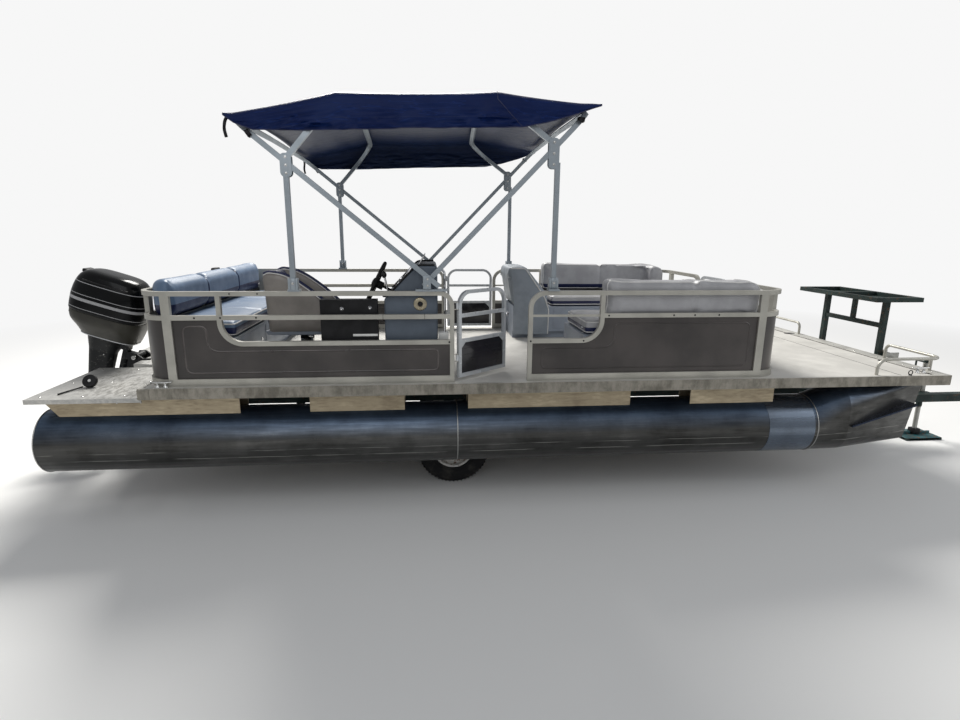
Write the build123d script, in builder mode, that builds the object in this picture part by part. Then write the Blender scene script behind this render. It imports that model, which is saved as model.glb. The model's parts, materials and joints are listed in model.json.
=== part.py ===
from build123d import *
from math import cos, radians, sin, sqrt
import os

# A twenty foot pontoon boat on its centre lift trailer, in millimetres.
# +X points to the bow, +Y to port and +Z up, with Z = 0 on the ground under the trailer's tyres.
# Long places are measured forward from the deck's aft edge by at().

# Hull and deck
deck_length = 6100.0
deck_width = 2440.0
deck_aft_x = -3343.3
deck_thick = 19.0
tube_dia = 457.0
tube_clearance = 360.0
tube_aft = -778.0
tube_nose_start = 5050.0
tube_nose_end = 6065.0
stern_dish = 42.0
riser_height = 127.0
riser_spread = 100.0
riser_plate = 6.0
cross_height = 57.0
cross_width = 44.0
cross_wall = 4.0
cross_pitch = 406.0
trim_web = 5.0
trim_lip = 26.0
trim_lip_thick = 3.0

# Fence
fence_height = 666.0
rail = 32.0
thin_rail = 16.0
fence_inset = 70.0
fence_aft = 20.0
fence_front = 4710.0
fence_corner = 200.0
foot_height = 20.0
mid_rail_height = 485.0
low_rail_height = 300.0
rail_bend = 150.0
post_bend = 90.0
front_post_bend = 110.0
corner_post = 58.0
panel_thick = 4.0
gate_aft = 2170.0
gate_front = 2740.0
aft_drop = 570.0
front_drop = 3270.0
bow_gate_half = 300.0

# Gates
hinge_offset = 22.0
gate_tube = 25.0
gate_side_gap = 8.0
gate_bend = 95.0
gate_open = 40.0
pin_r = 5.0
pin_play = 0.05
knuckle_r = 10.0
knuckle_length = 44.0
knuckle_gap = 0.5
lug_thick = 6.0
lug_half = 4.5

# Bimini
bow_tube = 34.0
bow_offset = 17.5
bow_bend = 230.0
bow_crown = 60.0
mount_base = 14.0
canopy_thick = 5.0
canopy_gap = 0.3

# Seating and helm
cushion_gap = 0.3
base_height = 330.0
seat_pad = 115.0
back_pad = 165.0
back_height = 750.0
lounge_depth = 600.0
lounge_inset = 20.0

# Outboard motor
transom_at = -500.0
transom_top = 975.0
tilt_pivot_back = 60.0
tilt_pivot_up = 25.0
stored_tilt = 18.0
steer_back = 110.0
tilt_tube_r = 16.0
barrel_r = 28.0
clamp_gap = 4.0
clamp_plate = 18.0
swivel_half = 70.0
kingpin_r = 14.0
cowl_length = 590.0
cowl_width = 400.0
cowl_low = 100.0
cowl_high = 650.0
cowl_wall = 8.0
plate_drop = 558.0
prop_axis_drop = 748.0
gearcase_r = 56.0
prop_r = 165.0
prop_hub_r = 46.0
prop_shaft_r = 12.0

# Trailer
tyre_r = 300.0
tyre_width = 178.0
rim_r = 168.0
tyre_gap = 74.0
axle_at = 2200.0
spindle_r = 20.0
wheel_play = 0.05
frame_rail_gap = 66.0
frame_rail_w = 50.0
frame_rail_h = 100.0
frame_rail_low = 405.0
lift_rail_shift = 80.0
lift_start = 1000.0
lift_end = 4900.0
lift_crosses = (1200.0, 2500.0, 4250.0)
lift_rail_h = 75.0
bunk_thick = 20.0
bunk_width = 120.0
arm_thick = 25.0
arm_width = 60.0
tongue_end = 8000.0
tongue_size = 80.0
tongue_join = 6900.0
jack_at = 7150.0
stand_gap = 80.0
stand_leg_y = 380.0
stand_tube = 45.0
tray_rise = 530.0
tray_length = 1050.0
tray_depth = 450.0

# Places that follow from the sizes above
tube_r = tube_dia / 2
tube_z = tube_clearance + tube_r
cross_low = tube_z + tube_r + riser_height
deck_low = cross_low + cross_height
deck_z = deck_low + deck_thick
half_width = deck_width / 2
tube_y = half_width - tube_r
track_half = tube_y - tube_r - tyre_gap - tyre_width / 2
frame_rail_y = track_half - tyre_width / 2 - frame_rail_gap - frame_rail_w / 2
lift_rail_y = frame_rail_y + lift_rail_shift
stand_at = deck_length + stand_gap
fence_y = half_width - fence_inset
bottom_rail_low = deck_z + foot_height
top_rail_low = deck_z + fence_height - rail
fence_top = deck_z + fence_height


def at(station):
    return deck_aft_x + station


fence_aft_x = at(fence_aft)
fence_front_x = at(fence_front)
fence_mid_x = (fence_aft_x + fence_front_x) / 2
fence_run = fence_front_x - fence_aft_x
sides = {"starboard": -1, "port": 1}


def write(part, name):
    part.label = name
    export_step(part, f"parts/{name}.step")


def block(x0, x1, y0, y1, z0, z1, mode=Mode.ADD):
    """A box between two corners, in the open part."""
    with Locations(((x0 + x1) / 2, (y0 + y1) / 2, (z0 + z1) / 2)):
        Box(abs(x1 - x0), abs(y1 - y0), abs(z1 - z0), mode=mode)


def rod(start, end, radius, mode=Mode.ADD):
    """A round bar from start to end, in the open part."""
    line = Vector(*end) - Vector(*start)
    with BuildSketch(Plane(origin=start, z_dir=line)) as disc:
        Circle(radius)
    extrude(disc.sketch, amount=line.length, mode=mode)


def bar(points, width, up, radii=None, height=None):
    """A square bar along straight runs and arcs, with its sides kept to the direction up."""
    with BuildLine() as path:
        if radii:
            FilletPolyline(*points, radius=radii)
        else:
            Line(points[0], points[1])
    run = Vector(*points[1]) - Vector(*points[0])
    with BuildSketch(Plane(origin=points[0], x_dir=up, z_dir=run)) as section:
        Rectangle(height or width, width)
    sweep(section.sketch, path=path.wire())


os.makedirs("parts", exist_ok=True)

# Pontoons: a closed tube with a dished stern cap and a nose that rises to the deck
nose_blade = 46.0
nose_low = tube_clearance + 63.0
nose_rake = 100.0
# station, width, underside and height of the nose's fullest section
belly = (5320.0, 396.0, tube_clearance + 2.0, 560.0)
pontoons = {}
for side_name, side in sides.items():
    with BuildPart() as pontoon:
        with BuildSketch(Plane.XZ) as half:
            with BuildLine():
                stern = (at(tube_aft), 0)
                rim = (at(tube_aft) + stern_dish, tube_r)
                dish_r = (stern_dish**2 + tube_r**2) / (2 * stern_dish)
                ThreePointArc(stern, (at(tube_aft) + dish_r - sqrt(dish_r**2 - tube_r**2 / 4), tube_r / 2), rim)
                Line(rim, (at(tube_nose_start), tube_r))
                Line((at(tube_nose_start), tube_r), (at(tube_nose_start), 0))
                Line((at(tube_nose_start), 0), stern)
            make_face()
        revolve(axis=Axis.X)
        with BuildSketch(Plane.YZ.offset(at(tube_nose_start))) as nose_root:
            Circle(tube_r)
        nose_height = cross_low - 4 - nose_low
        blade_mid = (nose_low + nose_height / 2) - tube_z
        blade_x = at(tube_nose_end) - nose_rake / 2
        lean = Vector(nose_rake, 0, nose_height).normalized()
        blade_plane = Plane(origin=(blade_x, 0, blade_mid), x_dir=(0, 1, 0), z_dir=lean.cross(Vector(0, -1, 0)))
        with BuildSketch(blade_plane) as nose_tip:
            RectangleRounded(nose_blade, sqrt(nose_height**2 + nose_rake**2), nose_blade / 2 - 1)
        belly_at, belly_width, belly_low, belly_height = belly
        with BuildSketch(Plane.YZ.offset(at(belly_at))) as nose_belly:
            with Locations((0, belly_low + belly_height / 2 - tube_z)):
                RectangleRounded(belly_width, belly_height, belly_width / 2 - 1)
        loft([nose_root.sketch, nose_belly.sketch])
        loft([nose_belly.sketch, nose_tip.sketch])
    pontoons[side_name] = pontoon.part.moved(Location((0, side * tube_y, tube_z)))
    write(pontoons[side_name], f"pontoon_{side_name}")

# Spray fins: a plate that stands out from each nose, low behind and high in front
fin_thick = 12.0
fin_reach_aft, fin_reach_front = 207.0, 140.0
fin_aft = Vector(at(5350), 0, tube_z + 12)
fin_run = Vector(595, 0, 145)
with BuildPart() as nose_fins:
    for side_name, side in sides.items():
        fin_plane = Plane(origin=fin_aft + Vector(0, side * tube_y, 0), x_dir=fin_run,
                          z_dir=fin_run.cross(Vector(0, 1, 0)))
        with BuildSketch(fin_plane):
            Polygon((0, 0), (fin_run.length, 0), (fin_run.length, side * fin_reach_front),
                    (0, side * fin_reach_aft), align=None)
        extrude(amount=fin_thick)
        add(pontoons[side_name], mode=Mode.SUBTRACT)
write(nose_fins.part, "nose_fins")

# Risers: flat topped brackets that stand on each tube and carry the cross members
riser_runs = [(-730, 630), (1127, 1818), (2292, 3550), (4034, 4720)]
riser_slant = 126.0
with BuildPart() as risers:
    for side in sides.values():
        for start, end in riser_runs:
            block(at(start), at(end), side * tube_y - riser_spread, side * tube_y + riser_spread,
                  cross_low - riser_plate, cross_low)
            for edge in (-1, 1):
                outer = side * tube_y + edge * riser_spread
                inner = outer - edge * riser_plate
                block(at(start), at(end), inner, outer, tube_z, cross_low)
    with Locations((at(2000), tube_y, tube_z), (at(2000), -tube_y, tube_z)):
        Cylinder(tube_r, 8000, rotation=(0, 90, 0), mode=Mode.SUBTRACT)
    riser_end = at(riser_runs[0][0])
    with BuildSketch(Plane.XZ.offset(-half_width)):
        Polygon((riser_end, cross_low - riser_plate), (riser_end + riser_slant, tube_z + tube_r - 30),
                (riser_end + riser_slant, tube_z), (riser_end, tube_z), align=None)
    extrude(amount=deck_width, mode=Mode.SUBTRACT)
write(risers.part, "risers")

# Cross members: open channels under the deck
cross_count = int((deck_length - 200) // cross_pitch) + 1
with BuildPart() as cross_members:
    first = (deck_length - (cross_count - 1) * cross_pitch) / 2
    for index in range(cross_count):
        middle = at(first + index * cross_pitch)
        length = half_width - trim_web
        block(middle - cross_width / 2, middle + cross_width / 2, -length, length, cross_low, deck_low)
        block(middle - cross_width / 2 + cross_wall, middle + cross_width / 2, -length, length,
              cross_low + cross_wall, deck_low - cross_wall, mode=Mode.SUBTRACT)
write(cross_members.part, "cross_members")

with BuildPart() as deck_board:
    block(at(trim_web), at(deck_length - trim_web), trim_web - half_width, half_width - trim_web, deck_low, deck_z)
write(deck_board.part, "deck_board")

# Deck trim: an edge section with a web down to the cross members' undersides and a lip over the deck
with BuildPart() as deck_trim:
    block(at(0), at(deck_length), -half_width, half_width, cross_low, deck_z + trim_lip_thick)
    block(at(trim_web), at(deck_length - trim_web), trim_web - half_width, half_width - trim_web,
          cross_low, deck_z, mode=Mode.SUBTRACT)
    block(at(trim_lip), at(deck_length - trim_lip), trim_lip - half_width, half_width - trim_lip,
          deck_z, deck_z + trim_lip_thick, mode=Mode.SUBTRACT)
write(deck_trim.part, "deck_trim")

# Motor pod: a box between the tubes that carries the transom plate
pod_half = 240.0
transom_x = at(transom_at)
with BuildPart() as motor_pod:
    with BuildSketch(Plane.XZ.offset(-pod_half)):
        Polygon(
            (transom_x, transom_top),
            (transom_x, transom_top - 420),
            (at(120), cross_low - 190),
            (at(900), cross_low - 60),
            (at(900), cross_low),
            (at(-30), cross_low),
            (transom_x + 60, transom_top),
            align=None,
        )
    extrude(amount=2 * pod_half)
    edge_bar = (pod_half, tube_y - riser_spread)
    for side in sides.values():
        block(transom_x + 80, transom_x + 130, side * edge_bar[0], side * edge_bar[1], cross_low - 50, cross_low)
write(motor_pod.part, "motor_pod")

# Stern platforms: a plate over each tube's aft end with turned down edges
platform_lip = 26.0
platform_aft = at(-765)
with BuildPart() as stern_platforms:
    for side in sides.values():
        inner, outer = side * 262.0, side * (half_width - 30)
        block(platform_aft, at(-4), inner, outer, cross_low, cross_low + riser_plate)
        block(platform_aft, platform_aft + riser_plate, inner, outer, cross_low - platform_lip, cross_low)
        block(platform_aft, at(-4), outer - side * riser_plate, outer, cross_low - platform_lip, cross_low)
write(stern_platforms.part, "stern_platforms")


def ring(low, high, width):
    """The fence's closed outline at one level, with its four rounded corners, in the open part."""
    with BuildSketch(Plane(origin=(fence_mid_x, 0, low))) as outline:
        RectangleRounded(fence_run + width, 2 * fence_y + width, fence_corner + width / 2)
        RectangleRounded(fence_run - width, 2 * fence_y - width, fence_corner - width / 2, mode=Mode.SUBTRACT)
    extrude(outline.sketch, amount=high - low)


rail_levels = {
    "bottom": bottom_rail_low,
    "mid": deck_z + mid_rail_height - rail / 2,
    "top": top_rail_low,
}
low_rail_mid = deck_z + low_rail_height
mid_rail_mid = deck_z + mid_rail_height
top_rail_mid = top_rail_low + rail / 2
aft_post_x = at(gate_aft)
front_post_x = at(gate_front)
foot_stations = {"aft": (330, 900, 1500, 2050), "forward": (2860, 3400, 3950, 4430)}


def corner_posts(end_x, inward, side):
    """The wide posts on both sides of a rounded corner."""
    low, high = bottom_rail_low, top_rail_low + rail / 2
    side_x = end_x + inward * (fence_corner + 2)
    block(side_x - corner_post / 2, side_x + corner_post / 2,
          side * fence_y - rail / 2, side * fence_y + rail / 2, low, high)
    end_y = side * (fence_y - fence_corner - 2)
    block(end_x - rail / 2, end_x + rail / 2, end_y - corner_post / 2, end_y + corner_post / 2, low, high)


def feet(stations, side):
    for station in stations:
        block(at(station) - 30, at(station) + 30, side * fence_y - rail / 2, side * fence_y + rail / 2,
              deck_z, bottom_rail_low)


# Aft fences: three rails round the stern corner, a drop tube into the low rail and the gate's post
for side_name, side in sides.items():
    y = side * fence_y
    with BuildPart() as aft_fence:
        for low in rail_levels.values():
            ring(low, low + rail, rail)
        block(at(-200), aft_post_x - 150, 0, side * (fence_y + 100), deck_z, fence_top, mode=Mode.INTERSECT)
        for level in ("bottom", "mid"):
            block(aft_post_x - 151, aft_post_x, y - rail / 2, y + rail / 2,
                  rail_levels[level], rail_levels[level] + rail)
        bar([(aft_post_x - 151, y, top_rail_mid), (aft_post_x, y, top_rail_mid), (aft_post_x, y, deck_z)],
            rail, (0, 0, 1), post_bend)
        drop_x = at(aft_drop)
        bar([(drop_x, y, top_rail_mid), (drop_x, y, low_rail_mid), (aft_post_x, y, low_rail_mid)],
            rail, (0, 1, 0), rail_bend)
        corner_posts(fence_aft_x, 1, side)
        lip_top = deck_z + trim_lip_thick
        block(fence_aft_x - rail / 2, fence_aft_x + rail / 2, 0, side * rail / 2, lip_top, fence_top - rail / 2)
        for foot_y in (fence_y - 750, fence_y - 350):
            block(fence_aft_x - rail / 2, fence_aft_x + rail / 2, side * foot_y - 30, side * foot_y + 30,
                  lip_top, bottom_rail_low)
        feet(foot_stations["aft"], side)
    write(aft_fence.part, f"fence_{side_name}_aft")

# Forward fences: as the aft ones, round the bow corner to the bow gate's post
for side_name, side in sides.items():
    y = side * fence_y
    gate_y = side * bow_gate_half
    with BuildPart() as forward_fence:
        for low in rail_levels.values():
            ring(low, low + rail, rail)
        block(front_post_x + 150, fence_front_x + 100, side * (bow_gate_half + 150), side * (fence_y + 100),
              deck_z, fence_top, mode=Mode.INTERSECT)
        block(front_post_x + 149, at(front_drop), y - rail, y + rail,
              rail_levels["mid"] - 1, rail_levels["mid"] + rail + 1, mode=Mode.SUBTRACT)
        block(front_post_x, front_post_x + 151, y - rail / 2, y + rail / 2, bottom_rail_low, bottom_rail_low + rail)
        block(front_post_x, at(front_drop), y - thin_rail / 2, y + thin_rail / 2,
              mid_rail_mid - thin_rail / 2, mid_rail_mid + thin_rail / 2)
        bar([(front_post_x + 151, y, top_rail_mid), (front_post_x, y, top_rail_mid), (front_post_x, y, deck_z)],
            rail, (0, 0, 1), front_post_bend)
        bar([(at(front_drop), y, top_rail_mid), (at(front_drop), y, low_rail_mid), (front_post_x, y, low_rail_mid)],
            rail, (0, 1, 0), rail_bend)
        corner_posts(fence_front_x, -1, side)
        for level in ("bottom", "mid"):
            block(fence_front_x - rail / 2, fence_front_x + rail / 2, gate_y, side * (bow_gate_half + 151),
                  rail_levels[level], rail_levels[level] + rail)
        bar([(fence_front_x, side * (bow_gate_half + 151), top_rail_mid), (fence_front_x, gate_y, top_rail_mid),
             (fence_front_x, gate_y, deck_z)], rail, (0, 0, 1), post_bend)
        feet(foot_stations["forward"], side)
        foot_y = fence_y - 480
        block(fence_front_x - rail / 2, fence_front_x + rail / 2, side * foot_y - 30, side * foot_y + 30,
              deck_z, bottom_rail_low)
    write(forward_fence.part, f"fence_{side_name}_forward")

# Fence panels: one thin sheet round each side, cut out above the low rail and at the gates and posts
panel_low = bottom_rail_low + rail
panel_high = rail_levels["mid"]
for side_name, side in sides.items():
    y = side * fence_y
    with BuildPart() as panels:
        ring(panel_low, panel_high, panel_thick)
        block(at(-200), at(deck_length), 0, side * (fence_y + 100), deck_z, fence_top, mode=Mode.INTERSECT)
        block(aft_post_x - rail / 2, front_post_x + rail / 2, y - 100, y + 100, deck_z, fence_top,
              mode=Mode.SUBTRACT)
        block(fence_front_x - 100, fence_front_x + 100, side * (bow_gate_half + rail / 2), -side, deck_z,
              fence_top, mode=Mode.SUBTRACT)
        block(fence_aft_x - 100, fence_aft_x + 100, 0, side * rail / 2, deck_z, fence_top, mode=Mode.SUBTRACT)
        for start, end, drop_side in ((at(aft_drop), aft_post_x, -1), (at(front_drop), front_post_x, 1)):
            with BuildSketch(Plane.XZ.offset(-y - 50)) as cutout:
                with BuildLine():
                    edge = start + drop_side * rail / 2
                    FilletPolyline((edge, fence_top), (edge, low_rail_mid - rail / 2),
                                   (end, low_rail_mid - rail / 2), radius=rail_bend + rail / 2)
                    Polyline((end, low_rail_mid - rail / 2), (end, fence_top), (edge, fence_top))
                make_face()
            extrude(cutout.sketch, amount=100, mode=Mode.SUBTRACT)
        for end_x, inward in ((fence_aft_x, 1), (fence_front_x, -1)):
            side_x = end_x + inward * (fence_corner + 2)
            block(side_x - corner_post / 2, side_x + corner_post / 2, y - 50, y + 50, deck_z, fence_top,
                  mode=Mode.SUBTRACT)
            end_y = side * (fence_y - fence_corner - 2)
            block(end_x - 50, end_x + 50, end_y - corner_post / 2, end_y + corner_post / 2, deck_z, fence_top,
                  mode=Mode.SUBTRACT)
    write(panels.part, f"fence_panels_{side_name}")


def gate(origin, along, width, turn, name):
    """A gate that hangs at origin and reaches along; turn is its stored swing about the hinge."""
    low = bottom_rail_low + 10
    high = fence_top
    stile = gate_side_gap + gate_tube / 2
    free = stile + width
    place = Plane(origin=origin, x_dir=along, z_dir=(0, 0, 1))
    with BuildPart() as leaf:
        bar([(stile, 0, low), (stile, 0, high - gate_tube / 2), (free, 0, high - gate_tube / 2), (free, 0, low)],
            gate_tube, (0, 1, 0), gate_bend)
        for level in (low + gate_tube / 2, low_rail_mid, mid_rail_mid):
            block(stile, free, -gate_tube / 2, gate_tube / 2, level - gate_tube / 2, level + gate_tube / 2)
        block(stile, free, -panel_thick / 2, panel_thick / 2, low, low_rail_mid)
        for level in hinge_levels:
            with Locations((0, 0, level)):
                Cylinder(knuckle_r, knuckle_length)
            block(0, stile, -4, 4, level - knuckle_length / 2, level + knuckle_length / 2)
            with Locations((0, 0, level)):
                Cylinder(pin_r + pin_play, knuckle_length, mode=Mode.SUBTRACT)
    turned = leaf.part.rotate(Axis.Z, turn).moved(place.location)
    write(turned, name)


hinge_levels = (deck_z + 180, deck_z + 560)


def hinge_lugs(origin, along):
    """The fixed half of a gate's two hinges: a pin between two lugs on the post."""
    place = Plane(origin=origin, x_dir=along, z_dir=(0, 0, 1))
    with BuildPart() as lugs:
        for level in hinge_levels:
            reach = knuckle_length / 2 + knuckle_gap
            for foot in (level - reach - lug_thick, level + reach):
                block(-hinge_offset, 0, -lug_half, lug_half, foot, foot + lug_thick)
                with Locations((0, 0, foot + lug_thick / 2)):
                    Cylinder(gate_side_gap - 1, lug_thick)
            with Locations((0, 0, level)):
                Cylinder(pin_r, knuckle_length + 2 * knuckle_gap + 2 * lug_thick)
    return lugs.part.moved(place.location)


# Gates: the starboard one stands part open, the port and bow ones are shut
side_gate_x = aft_post_x + rail / 2 + hinge_offset
side_gate_width = gate_front - gate_aft - rail - hinge_offset - 2 * gate_side_gap - gate_tube
bow_gate_width = 2 * bow_gate_half - rail - hinge_offset - 2 * gate_side_gap - gate_tube
bow_gate_y = -bow_gate_half + rail / 2 + hinge_offset
gate((side_gate_x, -fence_y, 0), (1, 0, 0), side_gate_width, gate_open, "gate_starboard")
gate((side_gate_x, fence_y, 0), (1, 0, 0), side_gate_width, 0, "gate_port")
gate((fence_front_x, bow_gate_y, 0), (0, 1, 0), bow_gate_width, 0, "gate_bow")
with BuildPart() as gate_hinges:
    add(hinge_lugs((side_gate_x, -fence_y, 0), (1, 0, 0)))
    add(hinge_lugs((side_gate_x, fence_y, 0), (1, 0, 0)))
    add(hinge_lugs((fence_front_x, bow_gate_y, 0), (0, 1, 0)))
write(gate_hinges.part, "gate_hinges")

# Bimini bows: each is a square tube arch in its own leaning plane
# name: foot station, foot height, corner station, corner height, offset from the fence line
bows = {
    "rear_main": (2080, fence_height + 34, 760, 1776, bow_offset),
    "front_main": (1970, fence_height + 34, 3120, 1889, -bow_offset),
    "rear_inner": (1098, 1542, 1434, 1921, bow_offset),
    "front_inner": (2845, 1681, 2473, 1950, -bow_offset),
}


def arch(foot_at, foot_up, top_at, top_up, offset):
    """One bow, from its starboard foot over the top to its port foot, in the open part."""
    half = fence_y + offset
    lean = Vector(top_at - foot_at, 0, top_up - foot_up).normalized()
    foot = Vector(at(foot_at), 0, deck_z + foot_up)
    corner = Vector(at(top_at), 0, deck_z + top_up)
    crown = corner + lean * bow_crown
    points = [(foot.X, -half, foot.Z), (corner.X, -half, corner.Z), (crown.X, 0, crown.Z),
              (corner.X, half, corner.Z), (foot.X, half, foot.Z)]
    with BuildLine() as path:
        FilletPolyline(*points, radius=[bow_bend, 4 * bow_bend, bow_bend])
    with BuildSketch(Plane(origin=points[0], x_dir=(0, 1, 0), z_dir=lean)) as section:
        Rectangle(bow_tube, bow_tube)
    sweep(section.sketch, path=path.wire())


for name in ("rear_main", "front_main"):
    with BuildPart() as bow:
        arch(*bows[name])
    write(bow.part, f"bimini_{name}_bow")
with BuildPart() as inner_bows:
    arch(*bows["rear_inner"])
    arch(*bows["front_inner"])
write(inner_bows.part, "bimini_inner_bows")

# Bimini posts: four uprights from the top rail to the main bows
posts = {"rear": (1085, 1431, bow_offset), "front": (2900, 1541, -bow_offset)}
post_foot = fence_top + mount_base
with BuildPart() as bimini_posts:
    for station, top_up, offset in posts.values():
        for side in sides.values():
            y = side * (fence_y + offset)
            block(at(station) - bow_tube / 2, at(station) + bow_tube / 2, y - bow_tube / 2, y + bow_tube / 2,
                  post_foot, deck_z + top_up)
write(bimini_posts.part, "bimini_posts")

# Bimini fittings: pads on the top rail under each foot, and plates that join post, main bow and inner bow
plate_thick = 4.0
with BuildPart() as bimini_fittings:
    for side in sides.values():
        inner, outer = sorted((side * (fence_y - 36), side * (fence_y + 36)))
        for station, reach in ((1085, 40), (2900, 40), (2025, 110)):
            block(at(station) - reach, at(station) + reach, inner, outer, fence_top, fence_top + mount_base)
        for station, level, height, offset in ((1090, 1490, 150, bow_offset), (2870, 1600, 200, -bow_offset)):
            for face in (-1, 1):
                middle = side * (fence_y + offset) + face * (bow_tube + plate_thick) / 2
                with BuildSketch(Plane.XZ.offset(-middle - plate_thick / 2)) as plate:
                    with Locations((at(station), deck_z + level)):
                        RectangleRounded(74, height, 30)
                extrude(plate.sketch, amount=plate_thick)
write(bimini_fittings.part, "bimini_fittings")

# Canopy: a sheet over the bows with side skirts, each section an arch across the boat
# station, height of the bows' corners there, height of the skirt's hem
canopy_sections = [
    (723, 1768, 1733),
    (880, 1803, 1712),
    (1434, 1921, 1718),
    (2473, 1950, 1752),
    (2850, 1915, 1792),
    (3173, 1884, 1849),
]
canopy_half = fence_y + bow_offset + bow_tube / 2 + canopy_gap + canopy_thick
canopy_rise = bow_tube * 0.72 + canopy_gap + canopy_thick
canopy_corner = 55.0


def canopy_form(inset):
    """The canopy's outer surface, or its inner one, as a loft of arches in the open part."""
    half = canopy_half - inset
    turn = canopy_corner - inset
    faces = []
    for station, top, hem in canopy_sections:
        shoulder = deck_z + top + canopy_rise - inset
        low = deck_z + hem - 20 * inset
        spring = shoulder - turn
        slant = turn * (1 - sqrt(0.5))
        with BuildSketch(Plane(origin=(at(station), 0, 0), x_dir=(0, 1, 0), z_dir=(1, 0, 0))) as face:
            with BuildLine():
                Polyline((-half, spring), (-half, low), (half, low), (half, spring))
                ThreePointArc((half, spring), (half - slant, shoulder - slant), (half - turn, shoulder))
                ThreePointArc((half - turn, shoulder), (0, shoulder + bow_crown), (turn - half, shoulder))
                ThreePointArc((turn - half, shoulder), (slant - half, shoulder - slant), (-half, spring))
            make_face()
        faces.append(face.sketch)
    loft(faces, ruled=True, mode=Mode.SUBTRACT if inset else Mode.ADD)


with BuildPart() as canopy:
    canopy_form(0)
    canopy_form(canopy_thick)
write(canopy.part, "canopy")

# Stern lounge: a base across the boat with its aft corners rounded inside the fence
lounge_aft = at(fence_aft) + rail / 2 + lounge_inset
lounge_half = fence_y - rail / 2 - 50
stern_front = lounge_aft + 580
seat_low = deck_z + base_height + cushion_gap
seat_high = seat_low + seat_pad
back_low = seat_high + cushion_gap
back_top = deck_z + back_height
lounge_corner = 155.0


def stern_slab(x1, low, high, y0, y1):
    """A slab against the stern fence; an end that reaches the lounge's side gets the rounded corner."""
    with BuildSketch(Plane.XY.offset(low)) as outline:
        with Locations(((lounge_aft + x1) / 2, (y0 + y1) / 2)):
            Rectangle(x1 - lounge_aft, y1 - y0)
        aft_corners = outline.vertices().filter_by_position(Axis.X, lounge_aft - 1, lounge_aft + 1)
        round_ones = [v for v in aft_corners if abs(v.Y) > lounge_half - 1]
        if round_ones:
            fillet(round_ones, lounge_corner)
    extrude(outline.sketch, amount=high - low)


with BuildPart() as stern_lounge_base:
    stern_slab(stern_front - 60, deck_z, deck_z + 70, -lounge_half, lounge_half)
    stern_slab(stern_front, deck_z + 70, deck_z + base_height, -lounge_half, lounge_half)
write(stern_lounge_base.part, "stern_lounge_base")

back_front = lounge_aft + back_pad
with BuildPart() as stern_lounge_cushions:
    seams = [-lounge_half, -lounge_half / 3, lounge_half / 3, lounge_half]
    for start, end in zip(seams[:-1], seams[1:]):
        low_y = start + (cushion_gap if start > -lounge_half else 0)
        high_y = end - (cushion_gap if end < lounge_half else 0)
        stern_slab(stern_front + 20, seat_low, seat_high, low_y, high_y)
        stern_slab(back_front, back_low, back_top, low_y, high_y)
write(stern_lounge_cushions.part, "stern_lounge_cushions")

# Forward lounges: a base along each side, seat and back cushions, and a sloped rest at the port one's aft end
# side, start of the base, start of the back cushions, end
forward_lounges = {"port": (1, 2870, 3240, 4560), "starboard": (-1, 3150, 3300, 4560)}
lounge_wall = fence_y - rail / 2 - 22
for name, (side, start, back_start, end) in forward_lounges.items():
    wall, edge = side * lounge_wall, side * (lounge_wall - lounge_depth)
    x0, x1 = at(start), at(end)
    with BuildPart() as lounge_base:
        block(x0, x1, wall, edge + side * 50, deck_z, deck_z + 70)
        block(x0, x1, wall, edge, deck_z + 70, deck_z + base_height)
    write(lounge_base.part, f"{name}_lounge_base")
    has_rest = name == "port"
    seat_start = at(back_start) if has_rest else x0
    with BuildPart() as lounge_cushions:
        middle = (at(back_start) + x1) / 2
        back_edge = wall - side * back_pad
        for low, high, first, reach in ((seat_low, seat_high, seat_start, edge - side * 15),
                                        (back_low, back_top, at(back_start), back_edge)):
            block(first, middle - cushion_gap, wall, reach, low, high)
            block(middle, x1, wall, reach, low, high)
        if has_rest:
            low_y, high_y = sorted((wall, edge - side * 15))
            rest_front = seat_start - 1
            with BuildSketch(Plane.XZ.offset(-high_y)) as wedge:
                Polygon(
                    (x0, seat_low),
                    (rest_front, seat_low),
                    (rest_front, seat_high - 20),
                    (x0 + 110, back_top - 15),
                    (x0 - 60, back_top - 15),
                    (x0 - 68, back_top - 60),
                    align=None,
                )
            extrude(wedge.sketch, amount=high_y - low_y)
    write(lounge_cushions.part, f"{name}_lounge_cushions")

# Helm chair: a pedestal on the deck and a bucket seat that swivels on its post
chair_x = at(1050)
chair_y = -660.0
post_r = 38.0
socket_play = 0.05
chair_floor = deck_z + 250
with BuildPart() as chair_pedestal:
    rod((chair_x, chair_y, deck_z), (chair_x, chair_y, deck_z + 14), 150)
    rod((chair_x, chair_y, deck_z), (chair_x, chair_y, chair_floor + 60), post_r)
    rod((chair_x, chair_y, deck_z), (chair_x, chair_y, chair_floor - 0.5), post_r + 14)
write(chair_pedestal.part, "chair_pedestal")

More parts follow.
